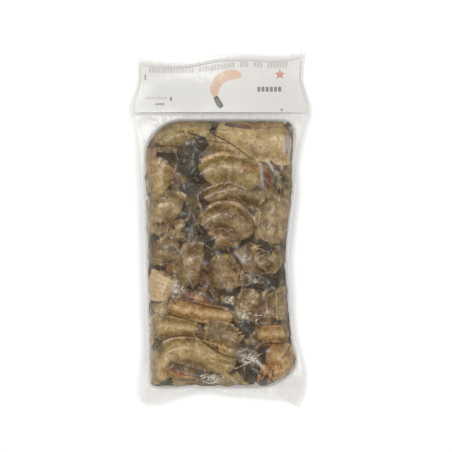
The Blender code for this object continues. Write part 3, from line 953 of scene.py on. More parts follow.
def add_scrap(shapes, scrap):
    """Adds one loose scrap of shell."""
    ahead = np.array(scrap.end) - np.array(scrap.start)
    heading = math.atan2(ahead[1], ahead[0])
    length = np.linalg.norm(ahead)
    values = {"tone": tone_value(scrap.tone), "back": 0.84, "ring": 0.6, "joint": 0.0, "sunk": 0.0}
    add_blade(shapes, scrap.start, SCRAP_DEPTH, heading, length, scrap.width, 0.2, **values)


def add_tail_fan(shapes, fan, chance):
    """Adds the blades of a tail fan, split as they are once frozen."""
    for place in (-3, 3, -2, 2, -1, 1, 0):
        heading = math.radians(fan.heading + place * FAN_SPREAD * chance.uniform(0.8, 1.15))
        length = fan.length * (1.0 - FAN_SHORTENING * abs(place)) * chance.uniform(0.85, 1.08)
        width = fan.length * (MIDDLE_BLADE if place == 0 else SIDE_BLADE)
        depth = FAN_DEPTH + FAN_LAYER * abs(place)
        add_blade(shapes, fan.base, depth, heading, length, width, chance.uniform(0.1, 0.8))


def add_swimmerets(shapes, prawn, chance):
    """Adds five pairs of small paddles along the belly of a prawn."""
    line, ahead, back = body_frame(prawn, np.linspace(0.0, 1.0, 41))
    for place in SWIMMERET_PLACES:
        number = round(place * 40)
        reach = body_reach(prawn, place) * FULLNESS
        for depth in SWIMMERET_DEPTHS:
            root = line[number] - back[number] * reach * 0.82
            pointing = ahead[number] * 0.7 - back[number] * chance.uniform(0.5, 0.9)
            heading = math.atan2(pointing[1], pointing[0]) + chance.uniform(-0.25, 0.25)
            length = prawn.thickness * chance.uniform(0.30, 0.48)
            depth = depth + chance.uniform(-0.2, 0.4)
            warmth = chance.uniform()
            add_blade(shapes, root, depth, heading, length, SWIMMERET_WIDTH, 0.6, warmth=warmth)


def add_strand(shapes, strand):
    """Adds a thin leg or feeler that lies over the prawns and tapers to its end."""
    tapering = np.linspace(1.1, 0.6, len(strand.points)) * strand.thickness / 2
    stations = [(x, y, half) for (x, y), half in zip(strand.points, tapering)]

    def under_film(x, y):
        return face_heights()[0](x, y) - STRAND_DEPTH

    # A dark strand is a leg and also a painted shadow line; a frosted one is also a painted glint.
    dark = 1 - strand.frost
    values = {"tip": dark, "frost": strand.frost, "warmth": 0.5 * dark}
    add_band(shapes, stations, 4, under_film, strand.thickness * 0.5, **values)


# Ice

def add_glaze(shapes):
    """Adds the block of brown ice that the prawns are frozen into, whose dark brown is partly its stain
    and partly painted shade in the gaps between them.
    """
    across, along = (np.linspace(0.0, 1.0, count) for count in ICE_GRID)
    level = BLOCK_BOTTOM + (BLOCK_TOP - BLOCK_BOTTOM) * along[:, None]
    left = along_curve(BLOCK_LEFT, level)
    x = left + (along_curve(BLOCK_RIGHT, level) - left) * across
    y = np.broadcast_to(level, x.shape)
    pressed = settle(np.stack((x, y, np.zeros(x.shape)), axis=-1), side_gap=ICE_SIDE_GAP)
    x, y = pressed[..., 0], pressed[..., 1]
    upper, lower = face_heights()
    swell = 0.8 * smooth_noise(x / 6 + 50, y / 6 + 50, 11)
    swell = swell + 0.5 * smooth_noise(x / 2 + 60, y / 2 + 90, 12)
    top = np.minimum(VALLEY_HEIGHT - 2.4 + swell, upper(x, y) - ICE_GAP)
    bottom = np.maximum(lower(x, y) + 0.9, 1.0) + 0.25 * np.abs(swell)
    rim = 1 - smooth_step(1.5, 7.0, depth_in_block(x, y))
    shapes.add_sheet(x, y, np.minimum(bottom, top - 0.4), top, rim=rim)


def add_crystal(shapes, place, size, chance):
    """Adds one uneven flake of frost, drawn out the way that the pack water froze."""
    heights = np.array((-0.7, 0.1, 0.6))[:, None]
    angle = angles_round(6) + chance.uniform(0.0, 1.0)
    reach = np.sqrt(1 - heights**2) * chance.uniform(0.45, 1.4, (3, 6)) * size / 2
    along = reach * np.cos(angle) * chance.uniform(1.2, 3.6)
    across = reach * np.sin(angle) * 0.7
    heading = math.radians(FLAKE_HEADING + chance.uniform(-30.0, 30.0))
    x = place[0] + along * math.cos(heading) - across * math.sin(heading)
    y = place[1] + along * math.sin(heading) + across * math.cos(heading)
    z = place[2] + heights * size * FLAKE_THICKNESS * np.ones((1, 6))
    shapes.add_tube(settle(np.stack((x, y, z), axis=-1)))


def crystal_places(count, chance):
    """Places for flakes of frost, most of them in the middle of the frost patches."""
    x = chance.uniform(-50.0, 52.0, FLAKE_TRIES)
    y = chance.uniform(BLOCK_BOTTOM, BLOCK_TOP, FLAKE_TRIES)
    keep = chance.uniform(0.0, 1.0, FLAKE_TRIES) < FLAKE_SHARE * frost_at(x, y) ** 3
    keep &= depth_in_block(x, y) > 2.0
    return np.stack((x[keep], y[keep]), axis=1)[:count]


# Film

def crinkle_rise(x, y, number):
    """Share of its full height that one of the film's crinkles has at a point."""
    crinkle = FILM_CRINKLES[number]
    turn = math.radians(crinkle.direction)
    along = (x * math.sin(turn) + y * math.cos(turn)) / crinkle.along
    across = (x * math.cos(turn) - y * math.sin(turn)) / crinkle.across
    bend = 0.5 * smooth_noise(x / 18 + 80, y / 18 + 80, 30 + number)
    ridge = 1 - np.abs(smooth_noise(across + bend + 90, along + 90, 20 + number))
    return ridge**CRINKLE_SHARPNESS


def crease_rise(x, y, crease):
    """Share of its full height that a crease has at a point."""
    start, end = np.array(crease.start), np.array(crease.end)
    length = np.linalg.norm(end - start)
    ahead = (end - start) / length
    passed = (x - start[0]) * ahead[0] + (y - start[1]) * ahead[1]
    aside = (y - start[1]) * ahead[0] - (x - start[0]) * ahead[1]
    aside = aside + 0.8 * smooth_noise(passed / 6 + 70, crease.width + 0 * passed, 41)
    taper = smooth_step(0.0, 0.3 * length, passed) * smooth_step(0.0, 0.3 * length, length - passed)
    return taper * np.exp(-((aside / crease.width) ** 2))


def crinkled(x, y):
    """Height of the creases and crinkles that stand up from the film."""
    crinkles = [crinkle.height * crinkle_rise(x, y, n) for n, crinkle in enumerate(FILM_CRINKLES)]
    creases = [crease.height * crease_rise(x, y, crease) for crease in FILM_CREASES]
    return np.sum(crinkles + creases, axis=0)


def film_faces(x, y):
    """Heights of the film's back and front sheets."""
    edge = smooth_step(0.0, EDGE_WIDTH, depth_in_film(x, y))
    shoulder = rise(depth_in_block(x, y), SHOULDER_WIDTH)
    heel = rise(depth_in_block(x, y), HEEL_WIDTH)
    apart = SEALED_GAP + (SHEET_GAP - SEALED_GAP) * edge
    over_card = smooth_step(-2.2, -0.2, depth_in_card(x, y))
    crinkles = crinkled(x, y) * (0.5 + 0.5 * shoulder) * (1 - 0.55 * over_card)
    front = pouch_upper(x, y) + (apart - FLAP_THICKNESS / 2) * (1 - shoulder)
    front += over_card * (CARD_COVER - apart) + crinkles
    back = pouch_lower(x, y) + (FLAP_THICKNESS / 2 - apart) * (1 - heel)
    back += crinkles * (1 - heel) * (1 - over_card) * 0.9
    return back, front


def film_haze(x, y):
    """How cloudy the film is: clear on the prawns and the card, cloudy in its flaps and folds, and along
    the creases on the block partly as painted highlight.
    """
    flap = 1 - smooth_step(-1.0, 1.5, depth_in_block(x, y))
    on_card = smooth_step(-1.2, 0.2, depth_in_card(x, y))
    clouds = 0.5 + 0.5 * smooth_noise(x / 7 + 33, y / 16 + 33, 51)
    creases = np.max([crease.height * crease_rise(x, y, crease) for crease in FILM_CREASES], axis=0)
    crinkles = np.max([crinkle_rise(x, y, n) for n in range(len(FILM_CRINKLES))], axis=0)
    on_block = FROST_HAZE * frost_at(x, y) + CLOUD_HAZE * clouds**2
    on_block += CRINKLE_HAZE * crinkles**2
    on_block += CREASE_HAZE_AND_GLINT * creases
    in_flap = FLAP_HAZE + FLAP_CREASE_HAZE * creases
    return in_flap * flap * (1 - CLEAR_ON_CARD * on_card) + on_block * (1 - flap)


def add_film(shapes, step):
    """Adds the film as one envelope: a front and a back sheet joined round their rim."""
    columns = round((FILM_RIGHT[0][1] - FILM_LEFT[0][1]) / step)
    rows = round((FILM_HEAD - FILM_FOOT) / step)
    level = FILM_FOOT + (FILM_HEAD - FILM_FOOT) * np.linspace(0.0, 1.0, rows)[:, None]
    left = along_curve(FILM_LEFT, level)
    x = left + (along_curve(FILM_RIGHT, level) - left) * np.linspace(0.0, 1.0, columns)
    bottom = along_curve(FILM_BOTTOM, x)
    share = (level - FILM_FOOT) / (FILM_HEAD - FILM_FOOT)
    y = bottom + share * (along_curve(FILM_TOP, x) - bottom)
    back, front = film_faces(x, y)
    end = np.minimum(y - bottom, along_curve(FILM_TOP, x) - y)
    seal = smooth_step(0.2, 0.8, end) * (1 - smooth_step(SEAL_WIDTH - 0.6, SEAL_WIDTH, end))
    shapes.add_sheet(x, y, back, front, haze=film_haze(x, y), seal=seal)


# Print on the header card

def card_face(x, y):
    """Height of the card's printed face."""
    return flap_middle(x, y) + CARD_FACE


def print_face(x, y):
    """Height of the middle of the ink, which stands just clear of the card."""
    return card_face(x, y) + PRINT_LIFT + PRINT_THICKNESS / 2


def add_patch(shapes, outline):
    """Adds a thin patch of ink, lying on the card, with an outline that its middle sees whole."""
    outline = np.array(outline)
    height = card_face(outline[:, 0], outline[:, 1])
    rings = [np.column_stack((outline, height + lift)) for lift in (PRINT_LIFT, PRINT_THICKNESS)]
    shapes.add_tube(np.array(rings))


def add_bars(shapes, row, slant=0.0):
    """Adds a row of plain upright bars of ink, which climbs by its slant."""
    for number in range(row.count):
        start = row.left + number * (row.width + row.gap)
        low = row.bottom + slant * (start - row.left)
        high = low + row.height
        end = start + row.width
        add_patch(shapes, ((start, low), (end, low), (end, high), (start, high)))


def add_title_bars(shapes):
    """Adds rows of pale bars under the card's top edge, which they follow."""
    width = TITLE_PITCH * TITLE_BAR_SHARE
    for left, count in TITLE_WORDS:
        ends = np.array([left, left + count * TITLE_PITCH])
        top = along_curve(FILM_TOP, ends) - CARD_TOP_MARGIN - TITLE_DROP
        slant = (top[1] - top[0]) / (ends[1] - ends[0])
        row = BarRow(left, top[0] - TITLE_HEIGHT, count, width, TITLE_HEIGHT, TITLE_PITCH - width)
        add_bars(shapes, row, slant)


def add_star(shapes):
    """Adds the plain five-point star."""
    turns = np.radians(90 + 36 * np.arange(10))
    radii = np.where(np.arange(10) % 2, STAR_RADII[1], STAR_RADII[0])
    corners = np.column_stack((np.cos(turns), np.sin(turns))) * radii[:, None]
    add_patch(shapes, corners + STAR_PLACE)


# Materials

def add_node(tree, kind, inputs=None, stops=(), **settings):
    """Adds a node with its settings. An input that is given a socket is linked to it."""
    node = tree.nodes.new(kind)
    for setting, value in settings.items():
        setattr(node, setting, value)
    for key, value in (inputs or {}).items():
        if isinstance(value, bpy.types.NodeSocket):
            tree.links.new(value, node.inputs[key])
        else:
            node.inputs[key].default_value = value
    for number, (place, colour) in enumerate(stops):
        elements = node.color_ramp.elements
        element = elements[number] if number < 2 else elements.new(place)
        element.position = place
        element.color = colour
    return node


def new_material(name):
    """A material with an empty node tree, and its tree and the place on the object."""
    material = bpy.data.materials.new(name)
    material.use_nodes = True
    tree = material.node_tree
    tree.nodes.clear()
    return material, tree, add_node(tree, "ShaderNodeTexCoord").outputs["Object"]


def show(tree, shader):
    """Sends a shader to the material's output."""
    add_node(tree, "ShaderNodeOutputMaterial", {"Surface": shader})


# A coat of colour: how strongly it covers, and the signals that let it show, each with the values
# at which it starts and stops.
Coat = namedtuple("Coat", "colour strength masks")


def gather_signals(tree, place, noise_sizes, values=()):
    """Signals that a material is painted by: noises of sizes in millimetres, and point values."""
    signals = {}
    for name, size in noise_sizes.items():
        inputs = {"Vector": place, "Scale": waves(size), "Detail": 5.0}
        signals[name] = add_node(tree, "ShaderNodeTexNoise", inputs).outputs["Fac"]
    for name in values:
        signals[name] = add_node(tree, "ShaderNodeAttribute", attribute_name=name).outputs["Fac"]
    return signals


def mask_from(tree, signals, strength, masks):
    """A strength, lessened wherever one of the masking signals is outside its values."""
    mask = strength
    for name, low, high in masks:
        inputs = {"Value": signals[name], "From Min": low, "From Max": high}
        share = add_node(tree, "ShaderNodeMapRange", inputs).outputs[0]
        mask = add_node(tree, "ShaderNodeMath", {0: mask, 1: share}, operation="MULTIPLY").outputs[0]
    return mask


def coat_over(tree, colour, signals, coats):
    """Lays coats of colour over a colour, one after another."""
    for coat in coats:
        mask = mask_from(tree, signals, coat.strength, coat.masks)
        inputs = {FACTOR: mask, FIRST: colour, SECOND: rgba(coat.colour)}
        colour = add_node(tree, "ShaderNodeMix", inputs, data_type="RGBA").outputs[MIXED]
    return colour


def finish_with(tree, colour, relief, strength, depth, roughness, ior):
    """Ends a material in one Principled shader, with a relief whose depth is in millimetres."""
    inputs = {"Height": relief, "Strength": strength, "Distance": depth * MM}
    normal = add_node(tree, "ShaderNodeBump", inputs).outputs["Normal"]
    inputs = {"Base Color": colour, "Roughness": roughness, "IOR": ior, "Normal": normal}
    show(tree, add_node(tree, "ShaderNodeBsdfPrincipled", inputs).outputs["BSDF"])


def coated_material(name, base, sizes, values, coats, relief, **finish):
    """A material of one colour under coats, painted by noises and by values at its points."""
    material, tree, place = new_material(name)
    signals = gather_signals(tree, place, sizes, values)
    colour = coat_over(tree, rgba(base), signals, coats)
    finish_with(tree, colour, signals[relief], **finish)
    return material


def shell_material(colours):
    """Raw prawn shell: grown chitin, thin and glassy over grey-brown flesh.

    The eye sees soft olive and tan clouds, a darker line where each ring slides under the next,
    fine dark specks, and a wet shine that frost breaks up. Light and shade are painted in too:
    painted highlights along each crest and dorsal rim, and painted shade along the belly edge,
    where each ring starts under the flare of the one before, and where a shell lies deep under the film.
    """
    material, tree, place = new_material("raw prawn shell, chitin")
    # The real specks are about 0.3 mm wide and are drawn at 1 mm, so that they show.
    sizes = {"mottle": 5.0, "cloud": 13.0, "streak": 1.8, "speck": 1.0, "grain": 1.3}
    signals = gather_signals(tree, place, sizes, SHELL_VALUES)
    tones = [rgba(getattr(colours, "shell_" + tone)) for tone in TONES]
    stops = [(number / (len(TONES) - 1), tone) for number, tone in enumerate(tones)]
    colour = add_node(tree, "ShaderNodeValToRGB", {"Fac": signals["tone"]}, stops).outputs["Color"]
    # Where each body's crest shows from above, for the painted highlight along it.
    crest = (("back", 0.16, 0.44), ("back", 0.84, 0.58), ("mottle", 0.22, 0.66), ("tone", -0.12, 0.50))
    coats = (
        Coat(colours.shell_warm, 0.45, (("cloud", 0.50, 0.66),)),
        Coat(colours.shell_light, 0.42, (("mottle", 0.42, 0.72),)),
        Coat(colours.shell_shade, 0.30, (("mottle", 0.50, 0.30),)),
        Coat(colours.shell_shade, 0.50, (("cloud", 0.52, 0.34),)),
        # Darker where each ring starts: partly the shell's own bands, partly painted shade under the flare
        # of the ring before.
        Coat(colours.shell_bands_and_shade, 0.40, (("ring", 0.45, 0.0), ("mottle", 0.25, 0.65))),
        # Painted highlight: a paler band along each crest, where the light falls most.
        Coat(colours.shell_light, 0.62, crest),
        # Painted shade along each belly edge, where the body curves away from the light.
        Coat(colours.shell_shade, 0.50, (("back", 0.22, 0.02),)),
        Coat(colours.shell_bands_and_shade, 0.35, (("speck", 0.60, 0.70),)),
        # Painted highlight along each dorsal rim, broken by clouds.
        Coat(colours.shell_light, 0.50, (("back", 0.82, 0.97), ("cloud", 0.36, 0.6))),
        Coat(colours.frost, 0.45, (("grain", 0.54, 0.72), ("cloud", 0.35, 0.6))),
        Coat(colours.shell_bands_and_shade, 0.50, (("grain", 0.46, 0.30),)),
        Coat(colours.shell_joint, 0.28, (("joint", 0.2, 1.0), ("mottle", 0.36, 0.6))),
        # Painted shade: dark brown where a shell lies deep under the film, in the gaps and down its
        # flanks.
        Coat(colours.ice_brown_and_shade, 0.94, (("sunk", 0.13, 0.46),)),
        Coat(colours.frost, 0.90, (("frost", 0.15, 0.9), ("grain", 0.44, 0.62))),
    )
    colour = coat_over(tree, colour, signals, coats)
    finish_with(tree, colour, signals["streak"], 0.7, 0.6, roughness=0.50, ior=ICE_TO_SHELL)
    return material


def meat_material(colours):
    """Raw prawn flesh: cut muscle, pale and milky, with a grey-pink tinge and a wet shine."""
    sizes = {"fibre": 2.2, "cloud": 6.0}
    coats = (
        Coat(colours.meat_shade, 0.7, (("fibre", 0.42, 0.62),)),
        Coat(colours.shell_bands_and_shade, 0.5, (("cloud", 0.52, 0.7),)),
    )
    return coated_material(
        "raw prawn flesh, cut", colours.meat, sizes, (), coats,
        relief="fibre", strength=0.5, depth=0.5, roughness=0.38, ior=ICE_TO_SHELL,
    )


def tail_fan_material(colours):
    """Tail fan: thicker chitin, dark grey-green with ribs, a paler fringe and a glassy shine."""
    sizes = {"streak": 2.4, "cloud": 6.0}
    values = ("rim", "vein", "tip", "frost")
    coats = (
        Coat(colours.fan_light, 0.40, (("streak", 0.50, 0.66),)),
        Coat(colours.fan_light, 0.90, (("vein", 0.45, 1.0), ("cloud", 0.30, 0.55))),
        Coat(colours.shell_joint, 0.6, (("tip", 0.35, 0.0),)),
        Coat(colours.fan_fringe, 0.85, (("rim", 0.80, 0.96), ("streak", 0.28, 0.50))),
        Coat(colours.frost, 0.9, (("frost", 0.1, 0.8), ("streak", 0.45, 0.6))),
    )
    return coated_material(
        "prawn tail fan, chitin", colours.fan, sizes, values, coats,
        relief="streak", strength=0.6, depth=0.4, roughness=0.40, ior=ICE_TO_SHELL,
    )


def swimmeret_material(colours):
    """Swimmerets, legs and feelers: thin chitin, golden to red-brown, dark or frosted at the tip; dark
    loose legs also paint shadow lines, and frosted ones glints.
    """
    sizes = {"streak": 2.0}
    values = ("warmth", "tip", "frost")
    coats = (
        Coat(colours.leg_red, 0.9, (("warmth", 0.2, 0.9),)),
        Coat(colours.shell_joint, 0.7, (("tip", 0.2, 1.0), ("streak", 0.35, 0.65))),
        Coat(colours.frost, 0.9, (("frost", 0.1, 0.8), ("streak", 0.45, 0.6))),
    )
    return coated_material(
        "prawn swimmeret, thin chitin", colours.leg_golden, sizes, values, coats,
        relief="streak", strength=0.4, depth=0.3, roughness=0.4, ior=ICE_TO_SHELL,
    )


def glaze_material(colours):
    """Glaze ice: frozen pack water with scraps of shell in it, reddish or milky, and dark brown, which is
    partly its stain and partly painted shade in the gaps between the prawns.
    """
    sizes = {"cloud": 7.0, "scrap": 3.2, "grain": 1.5}
    values = ("rim",)
    coats = (
        Coat(colours.ice_rim, 0.85, (("rim", 0.1, 0.8), ("scrap", 0.30, 0.55))),
        Coat(colours.ice_red, 0.8, (("cloud", 0.48, 0.60),)),
        Coat(colours.ice_pale, 0.9, (("scrap", 0.50, 0.62),)),
        Coat(colours.shell_bands_and_shade, 0.6, (("grain", 0.5, 0.7),)),
    )
    return coated_material(
        "glaze ice, stained brown", colours.ice_brown_and_shade, sizes, values, coats,
        relief="scrap", strength=0.7, depth=1.0, roughness=0.25, ior=ICE_INDEX,
    )


def frost_material(colours):
    """Frost: ice crystals grown on the food, white and glittering."""
    sizes = {"grain": 1.2}
    coats = (Coat(colours.frost_shade, 0.75, (("grain", 0.4, 0.65),)),)
    return coated_material(
        "frost, ice crystals", colours.frost, sizes, (), coats,
        relief="grain", strength=0.3, depth=0.2, roughness=0.3, ior=ICE_INDEX,
    )


def film_material(colours):
    """Pouch film: blown polyethylene, heat sealed at its ends.

    The eye looks through it to the food. It is milky where two sheets lie together, faintly
    cloudy elsewhere, and has soft streaks of light along its creases and ribs across its seals.
    """
    material, tree, place = new_material("polyethylene film, blown and heat sealed")
    drawn = add_node(tree, "ShaderNodeMapping", {"Vector": place, "Scale": (1.0, 0.25, 1.0)})
    sizes = {"crumple": 3.0, "smear": 2.0}
    signals = gather_signals(tree, drawn.outputs["Vector"], sizes, ("haze", "seal"))
    # The real seal ribs are 0.8 mm apart and are drawn 2 mm apart, so that they show.
    rib_inputs = {"Vector": place, "Scale": waves(2.0) / WAVE_BANDS}
    signals["rib"] = add_node(tree, "ShaderNodeTexWave", rib_inputs).outputs["Fac"]
    ribbed = mask_from(tree, signals, 0.18, (("seal", 0.0, 1.0), ("rib", 0.0, 1.0)))
    height = add_node(tree, "ShaderNodeMath", {0: signals["crumple"], 1: ribbed}, operation="ADD")
    inputs = {"Height": height.outputs[0], "Strength": 0.5, "Distance": 0.4 * MM}
    normal = add_node(tree, "ShaderNodeBump", inputs).outputs["Normal"]
    cloudy = mask_from(tree, signals, 1.2, (("haze", 0.0, 1.0), ("smear", -0.8, 1.1)))
    # Faint milky streaks along the film, which also paint soft streaks of light falling through its
    # wrinkles.
    streaks = mask_from(tree, signals, 0.02, (("smear", 0.52, 0.74),))
    cloudy = add_node(tree, "ShaderNodeMath", {0: cloudy, 1: streaks}, operation="MAXIMUM").outputs[0]
    clear = add_node(tree, "ShaderNodeBsdfTransparent", {"Color": rgba(colours.film_clear)})
    inputs = {"Base Color": rgba(colours.film_milk), "Roughness": 0.45, "IOR": DRY_INDEX, "Normal": normal}
    milk = add_node(tree, "ShaderNodeBsdfPrincipled", inputs)
    inputs = {0: cloudy, 1: clear.outputs["BSDF"], 2: milk.outputs["BSDF"]}
    body = add_node(tree, "ShaderNodeMixShader", inputs)
    inputs = {"Color": rgba(colours.film_gloss), "Roughness": 0.28, "Normal": normal}
    gloss = add_node(tree, "ShaderNodeBsdfAnisotropic", inputs)
    # Schlick's rule for the mirror share of one face, the same from outside and from inside.
    edge_on = add_node(tree, "ShaderNodeLayerWeight", {"Blend": 0.5, "Normal": normal}).outputs["Facing"]
    steep = add_node(tree, "ShaderNodeMath", {0: edge_on, 1: 5.0}, operation="POWER").outputs[0]
    inputs = {0: steep, 1: EDGE_ON_MIRROR, 2: HEAD_ON_MIRROR}
    mirror = add_node(tree, "ShaderNodeMath", inputs, operation="MULTIPLY_ADD").outputs[0]
    inputs = {0: mirror, 1: body.outputs["Shader"], 2: gloss.outputs["BSDF"]}
    show(tree, add_node(tree, "ShaderNodeMixShader", inputs).outputs["Shader"])
    return material


def card_material(colours):
    """Header card: coated paper board, printed white, matt with a faint fibre and grey clouds."""
    sizes = {"fibre": 1.2, "cloud": 26.0}
    coats = (
        Coat(colours.card_shade, 0.8, (("cloud", 0.35, 0.7),)),
        Coat(colours.card_shade, 0.5, (("fibre", 0.45, 0.75),)),
    )
    return coated_material(
        "coated paper board, printed white", colours.card, sizes, (), coats,
        relief="fibre", strength=0.15, depth=0.1, roughness=0.55, ior=DRY_INDEX,
    )


def ink_material(name, ink, light):
    """Printing ink on coated board: flat and matt, a little uneven where the board shows through."""
    sizes = {"screen": 2.0}
    coats = (Coat(light, 0.3, (("screen", 0.4, 0.7),)),)
    return coated_material(
        name, ink, sizes, (), coats,
        relief="screen", strength=0.1, depth=0.05, roughness=0.5, ior=DRY_INDEX,
    )


def paper_floor_material(colours):
    """Studio paper: uncoated, matt and nearly white, with a very faint tooth."""
    sizes = {"tooth": 3.0}
    coats = (Coat(colours.floor_shade, 0.3, (("tooth", 0.3, 0.7),)),)
    return coated_material(
        "studio paper, uncoated", colours.floor, sizes, (), coats,
        relief="tooth", strength=0.1, depth=0.1, roughness=0.9, ior=DRY_INDEX,
    )


# Settings that a user may change

def colour_setting(name, hex_colour, about):
    """A colour that shows in the panel."""
    rules = {"subtype": "COLOR", "size": 3, "min": 0.0, "max": 1.0}
    return FloatVectorProperty(name=name, description=about, default=linear(hex_colour), **rules)


class PrawnPouchColours(PropertyGroup):
    """Colours of the prawns, the ice, the film and the card."""

    shell_dark: colour_setting("Dark shell", "#36230e", "Shell of the darkest prawns")
    shell_brown: colour_setting("Brown shell", "#5c3d17", "Shell of the brown prawns")
    shell_olive: colour_setting("Olive shell", "#7a6228", "Shell of the olive prawns")
    shell_grey: colour_setting("Grey shell", "#735a33", "Shell of the frosted grey prawns")
    shell_tan: colour_setting("Tan shell", "#95763f", "Shell of the tan prawns")
    shell_beige: colour_setting("Beige shell", "#ab8c59", "Shell of the beige prawns")
    shell_pink: colour_setting("Pink shell", "#cfb28a", "Shell of the palest prawns")
    shell_golden: colour_setting("Golden shell", "#96611d", "Shell of the golden prawns")
    shell_orange: colour_setting("Orange shell", "#9c642b", "Shell of the reddest scraps")
    shell_red: colour_setting("Red shell", "#6c2b1d", "Dark red scraps at the block's edge")
    shell_warm: colour_setting("Warm shell", "#93591f", "Golden clouds in the shells")
    # Shell lights pale random clouds, and are also painted highlights along the crests and dorsal rims.
    shell_light: colour_setting("Shell lights", "#d9be88", "Paler clouds in the shells")
    # Shell shades darken random clouds, and are also painted shade along the belly edges.
    shell_shade: colour_setting("Shell shades", "#4e3e1d", "Darker clouds in the shells")
    # Shell bands colour bands and specks, and are also painted shade where each ring starts under the one
    # before.
    shell_bands_and_shade: colour_setting("Shell bands", "#48371a", "Bands and specks of the shells")
    shell_joint: colour_setting("Joints", "#342008", "Lines between the rings of shell")
    meat: colour_setting("Flesh", "#957850", "Cut flesh at the neck")
    meat_shade: colour_setting("Flesh shade", "#6b5230", "Darker fibres of the flesh")
    fan: colour_setting("Tail fan", "#171108", "Blades of the tail fans")
    fan_light: colour_setting("Tail fan lights", "#66563a", "Paler clouds in the tail fans")
    fan_fringe: colour_setting("Tail fan fringe", "#84795a", "Rim of the tail fans")
    leg_golden: colour_setting("Golden swimmerets", "#7d5a33", "The palest swimmerets")
    leg_red: colour_setting("Red swimmerets", "#4b2a1a", "The reddest swimmerets")
    # Dark brown of the glaze ice: partly its stain, partly painted shade in the gaps and deep under the
    # film.
    ice_brown_and_shade: colour_setting("Brown ice", "#2c1a08", "Clear glaze ice, stained brown")
    ice_red: colour_setting("Red ice", "#55301a", "Ice stained by scraps of legs")
    ice_pale: colour_setting("Pale ice", "#8a6c48", "Milky glaze ice")
    ice_rim: colour_setting("Ice rim", "#b09a70", "Clear ice round the block, with prawns behind it")
    frost: colour_setting("Frost", "#d8cfbe", "Frost on the food")
    frost_shade: colour_setting("Thin frost", "#a39272", "Thin frost, which the food shows through")
    film_clear: colour_setting("Clear film", "#fbfbfa", "Tint of what is seen through the film")
    film_milk: colour_setting("Milky film", "#ebe8e4", "Cloudy film where sheets lie together")
    film_gloss: colour_setting("Film shine", "#ffffff", "Shine on the film")
    card: colour_setting("Card", "#d9d7d4", "Printed white of the card")
    card_shade: colour_setting("Card shade", "#cfcdca", "Grey clouds of the card")
    ink_grey: colour_setting("Grey ink", "#b4b0ac", "Pale bars of print")
    ink_dark: colour_setting("Dark ink", "#6a6663", "Dark bars of print")
    ink_prawn: colour_setting("Prawn ink", "#cba88c", "Body of the printed prawn")
    ink_tail: colour_setting("Tail ink", "#454a3c", "Tail of the printed prawn")
    ink_star: colour_setting("Star ink", "#c06a58", "The printed star")
    floor: colour_setting("Floor", "#f7f7f6", "Studio paper under the pouch")
    floor_shade: colour_setting("Floor tooth", "#efefee", "Tooth of the studio paper")


class PrawnPouchSizes(PropertyGroup):
    """Sizes and amounts of the pieces and the stage."""

    film_step: FloatProperty(
        name="Film grid", description="Distance between the film's points",
        default=0.9 * MM, min=0.5 * MM, unit="LENGTH",
    )
    shell_rows: IntProperty(name="Shell rows", description="Points along a prawn", default=64, min=12)
    shell_sides: IntProperty(name="Shell sides", description="Points round a prawn", default=28, min=8)
    crystals: IntProperty(name="Flakes", description="How many flakes of frost", default=420, min=0)
    camera_height: FloatProperty(
        name="Camera height", description="Height of the camera above the pouch's underside",
        default=1.1865, unit="LENGTH",
    )
    lens: FloatProperty(name="Lens", description="Focal length in millimetres", default=135.0)
    key_power: FloatProperty(
        name="Key light", description="Power of the key light", default=8.6, unit="POWER"
    )
    fill_power: FloatProperty(
        name="Fill light", description="Power of the fill light", default=6.4, unit="POWER"
    )
    sky: FloatProperty(name="Sky", description="Strength of the light from all round", default=0.60)


def settings():
    """The scene's sizes and colours."""
    scene = bpy.context.scene
    return scene.prawn_pouch_sizes, scene.prawn_pouch_colours


# Stage

def make_floor(colours):
    """The plain pale floor that the pouch lies on."""
    bpy.ops.mesh.primitive_plane_add(size=FLOOR_SIZE, location=(0.0, 0.0, -FLOOR_DROP * MM))
    floor = bpy.context.object
    floor.name = "studio_floor"
    floor.data.materials.append(paper_floor_material(colours))


def aim(item, target):
    """Turns an object so that its -Z axis points at a place."""
    item.rotation_euler = (Vector(target) - item.location).to_track_quat("-Z", "Y").to_euler()


def make_lights(sizes):
    """Even light from all round, a soft key from the upper left and a fill from the lower right."""
    scene = bpy.context.scene
    world = bpy.data.worlds.new("studio light")
    scene.world = world
    world.use_nodes = True
    background = world.node_tree.nodes["Background"]
    background.inputs["Color"].default_value = rgba(linear(SKY_COLOUR))
    background.inputs["Strength"].default_value = sizes.sky
    lights = (
        ("key light", KEY_PLACE, sizes.key_power),
        ("fill light", FILL_PLACE, sizes.fill_power),
    )
    for name, place, power in lights:
        lamp = bpy.data.lights.new(name, "AREA")
        lamp.size = LIGHT_SIZE
        lamp.energy = power
        item = bpy.data.objects.new(name, lamp)
        item.location = place
        scene.collection.objects.link(item)
        aim(item, (0.0, 0.0, 0.0))


def make_camera(sizes):
    """A camera that looks straight down on the pouch, its header at the top."""
    scene = bpy.context.scene
    camera = bpy.data.cameras.new("camera")
    camera.lens = sizes.lens
    camera.sensor_width = 36.0
    camera.sensor_fit = "HORIZONTAL"
    camera.clip_start = 0.01
    item = bpy.data.objects.new("camera", camera)
    item.location = (VIEW_CENTRE[0] * MM, VIEW_CENTRE[1] * MM, sizes.camera_height)
    scene.collection.objects.link(item)
    scene.camera = item
    scene.view_settings.view_transform = "Standard"


# Operators, one for each piece or group of like pieces

class PRAWNPOUCH_OT_film(Operator):
    """Makes the clear film as one sealed envelope"""

    bl_idname = "prawn_pouch.film"
    bl_label = "Film"

    def execute(self, context):
        sizes, colours = settings()
        shapes = Shapes("haze", "seal")
        add_film(shapes, sizes.film_step / MM)
        film = shapes.make_object("pouch_film", film_material(colours), smooth_angle=75.0)
        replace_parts(film, "pouch")
        return {"FINISHED"}


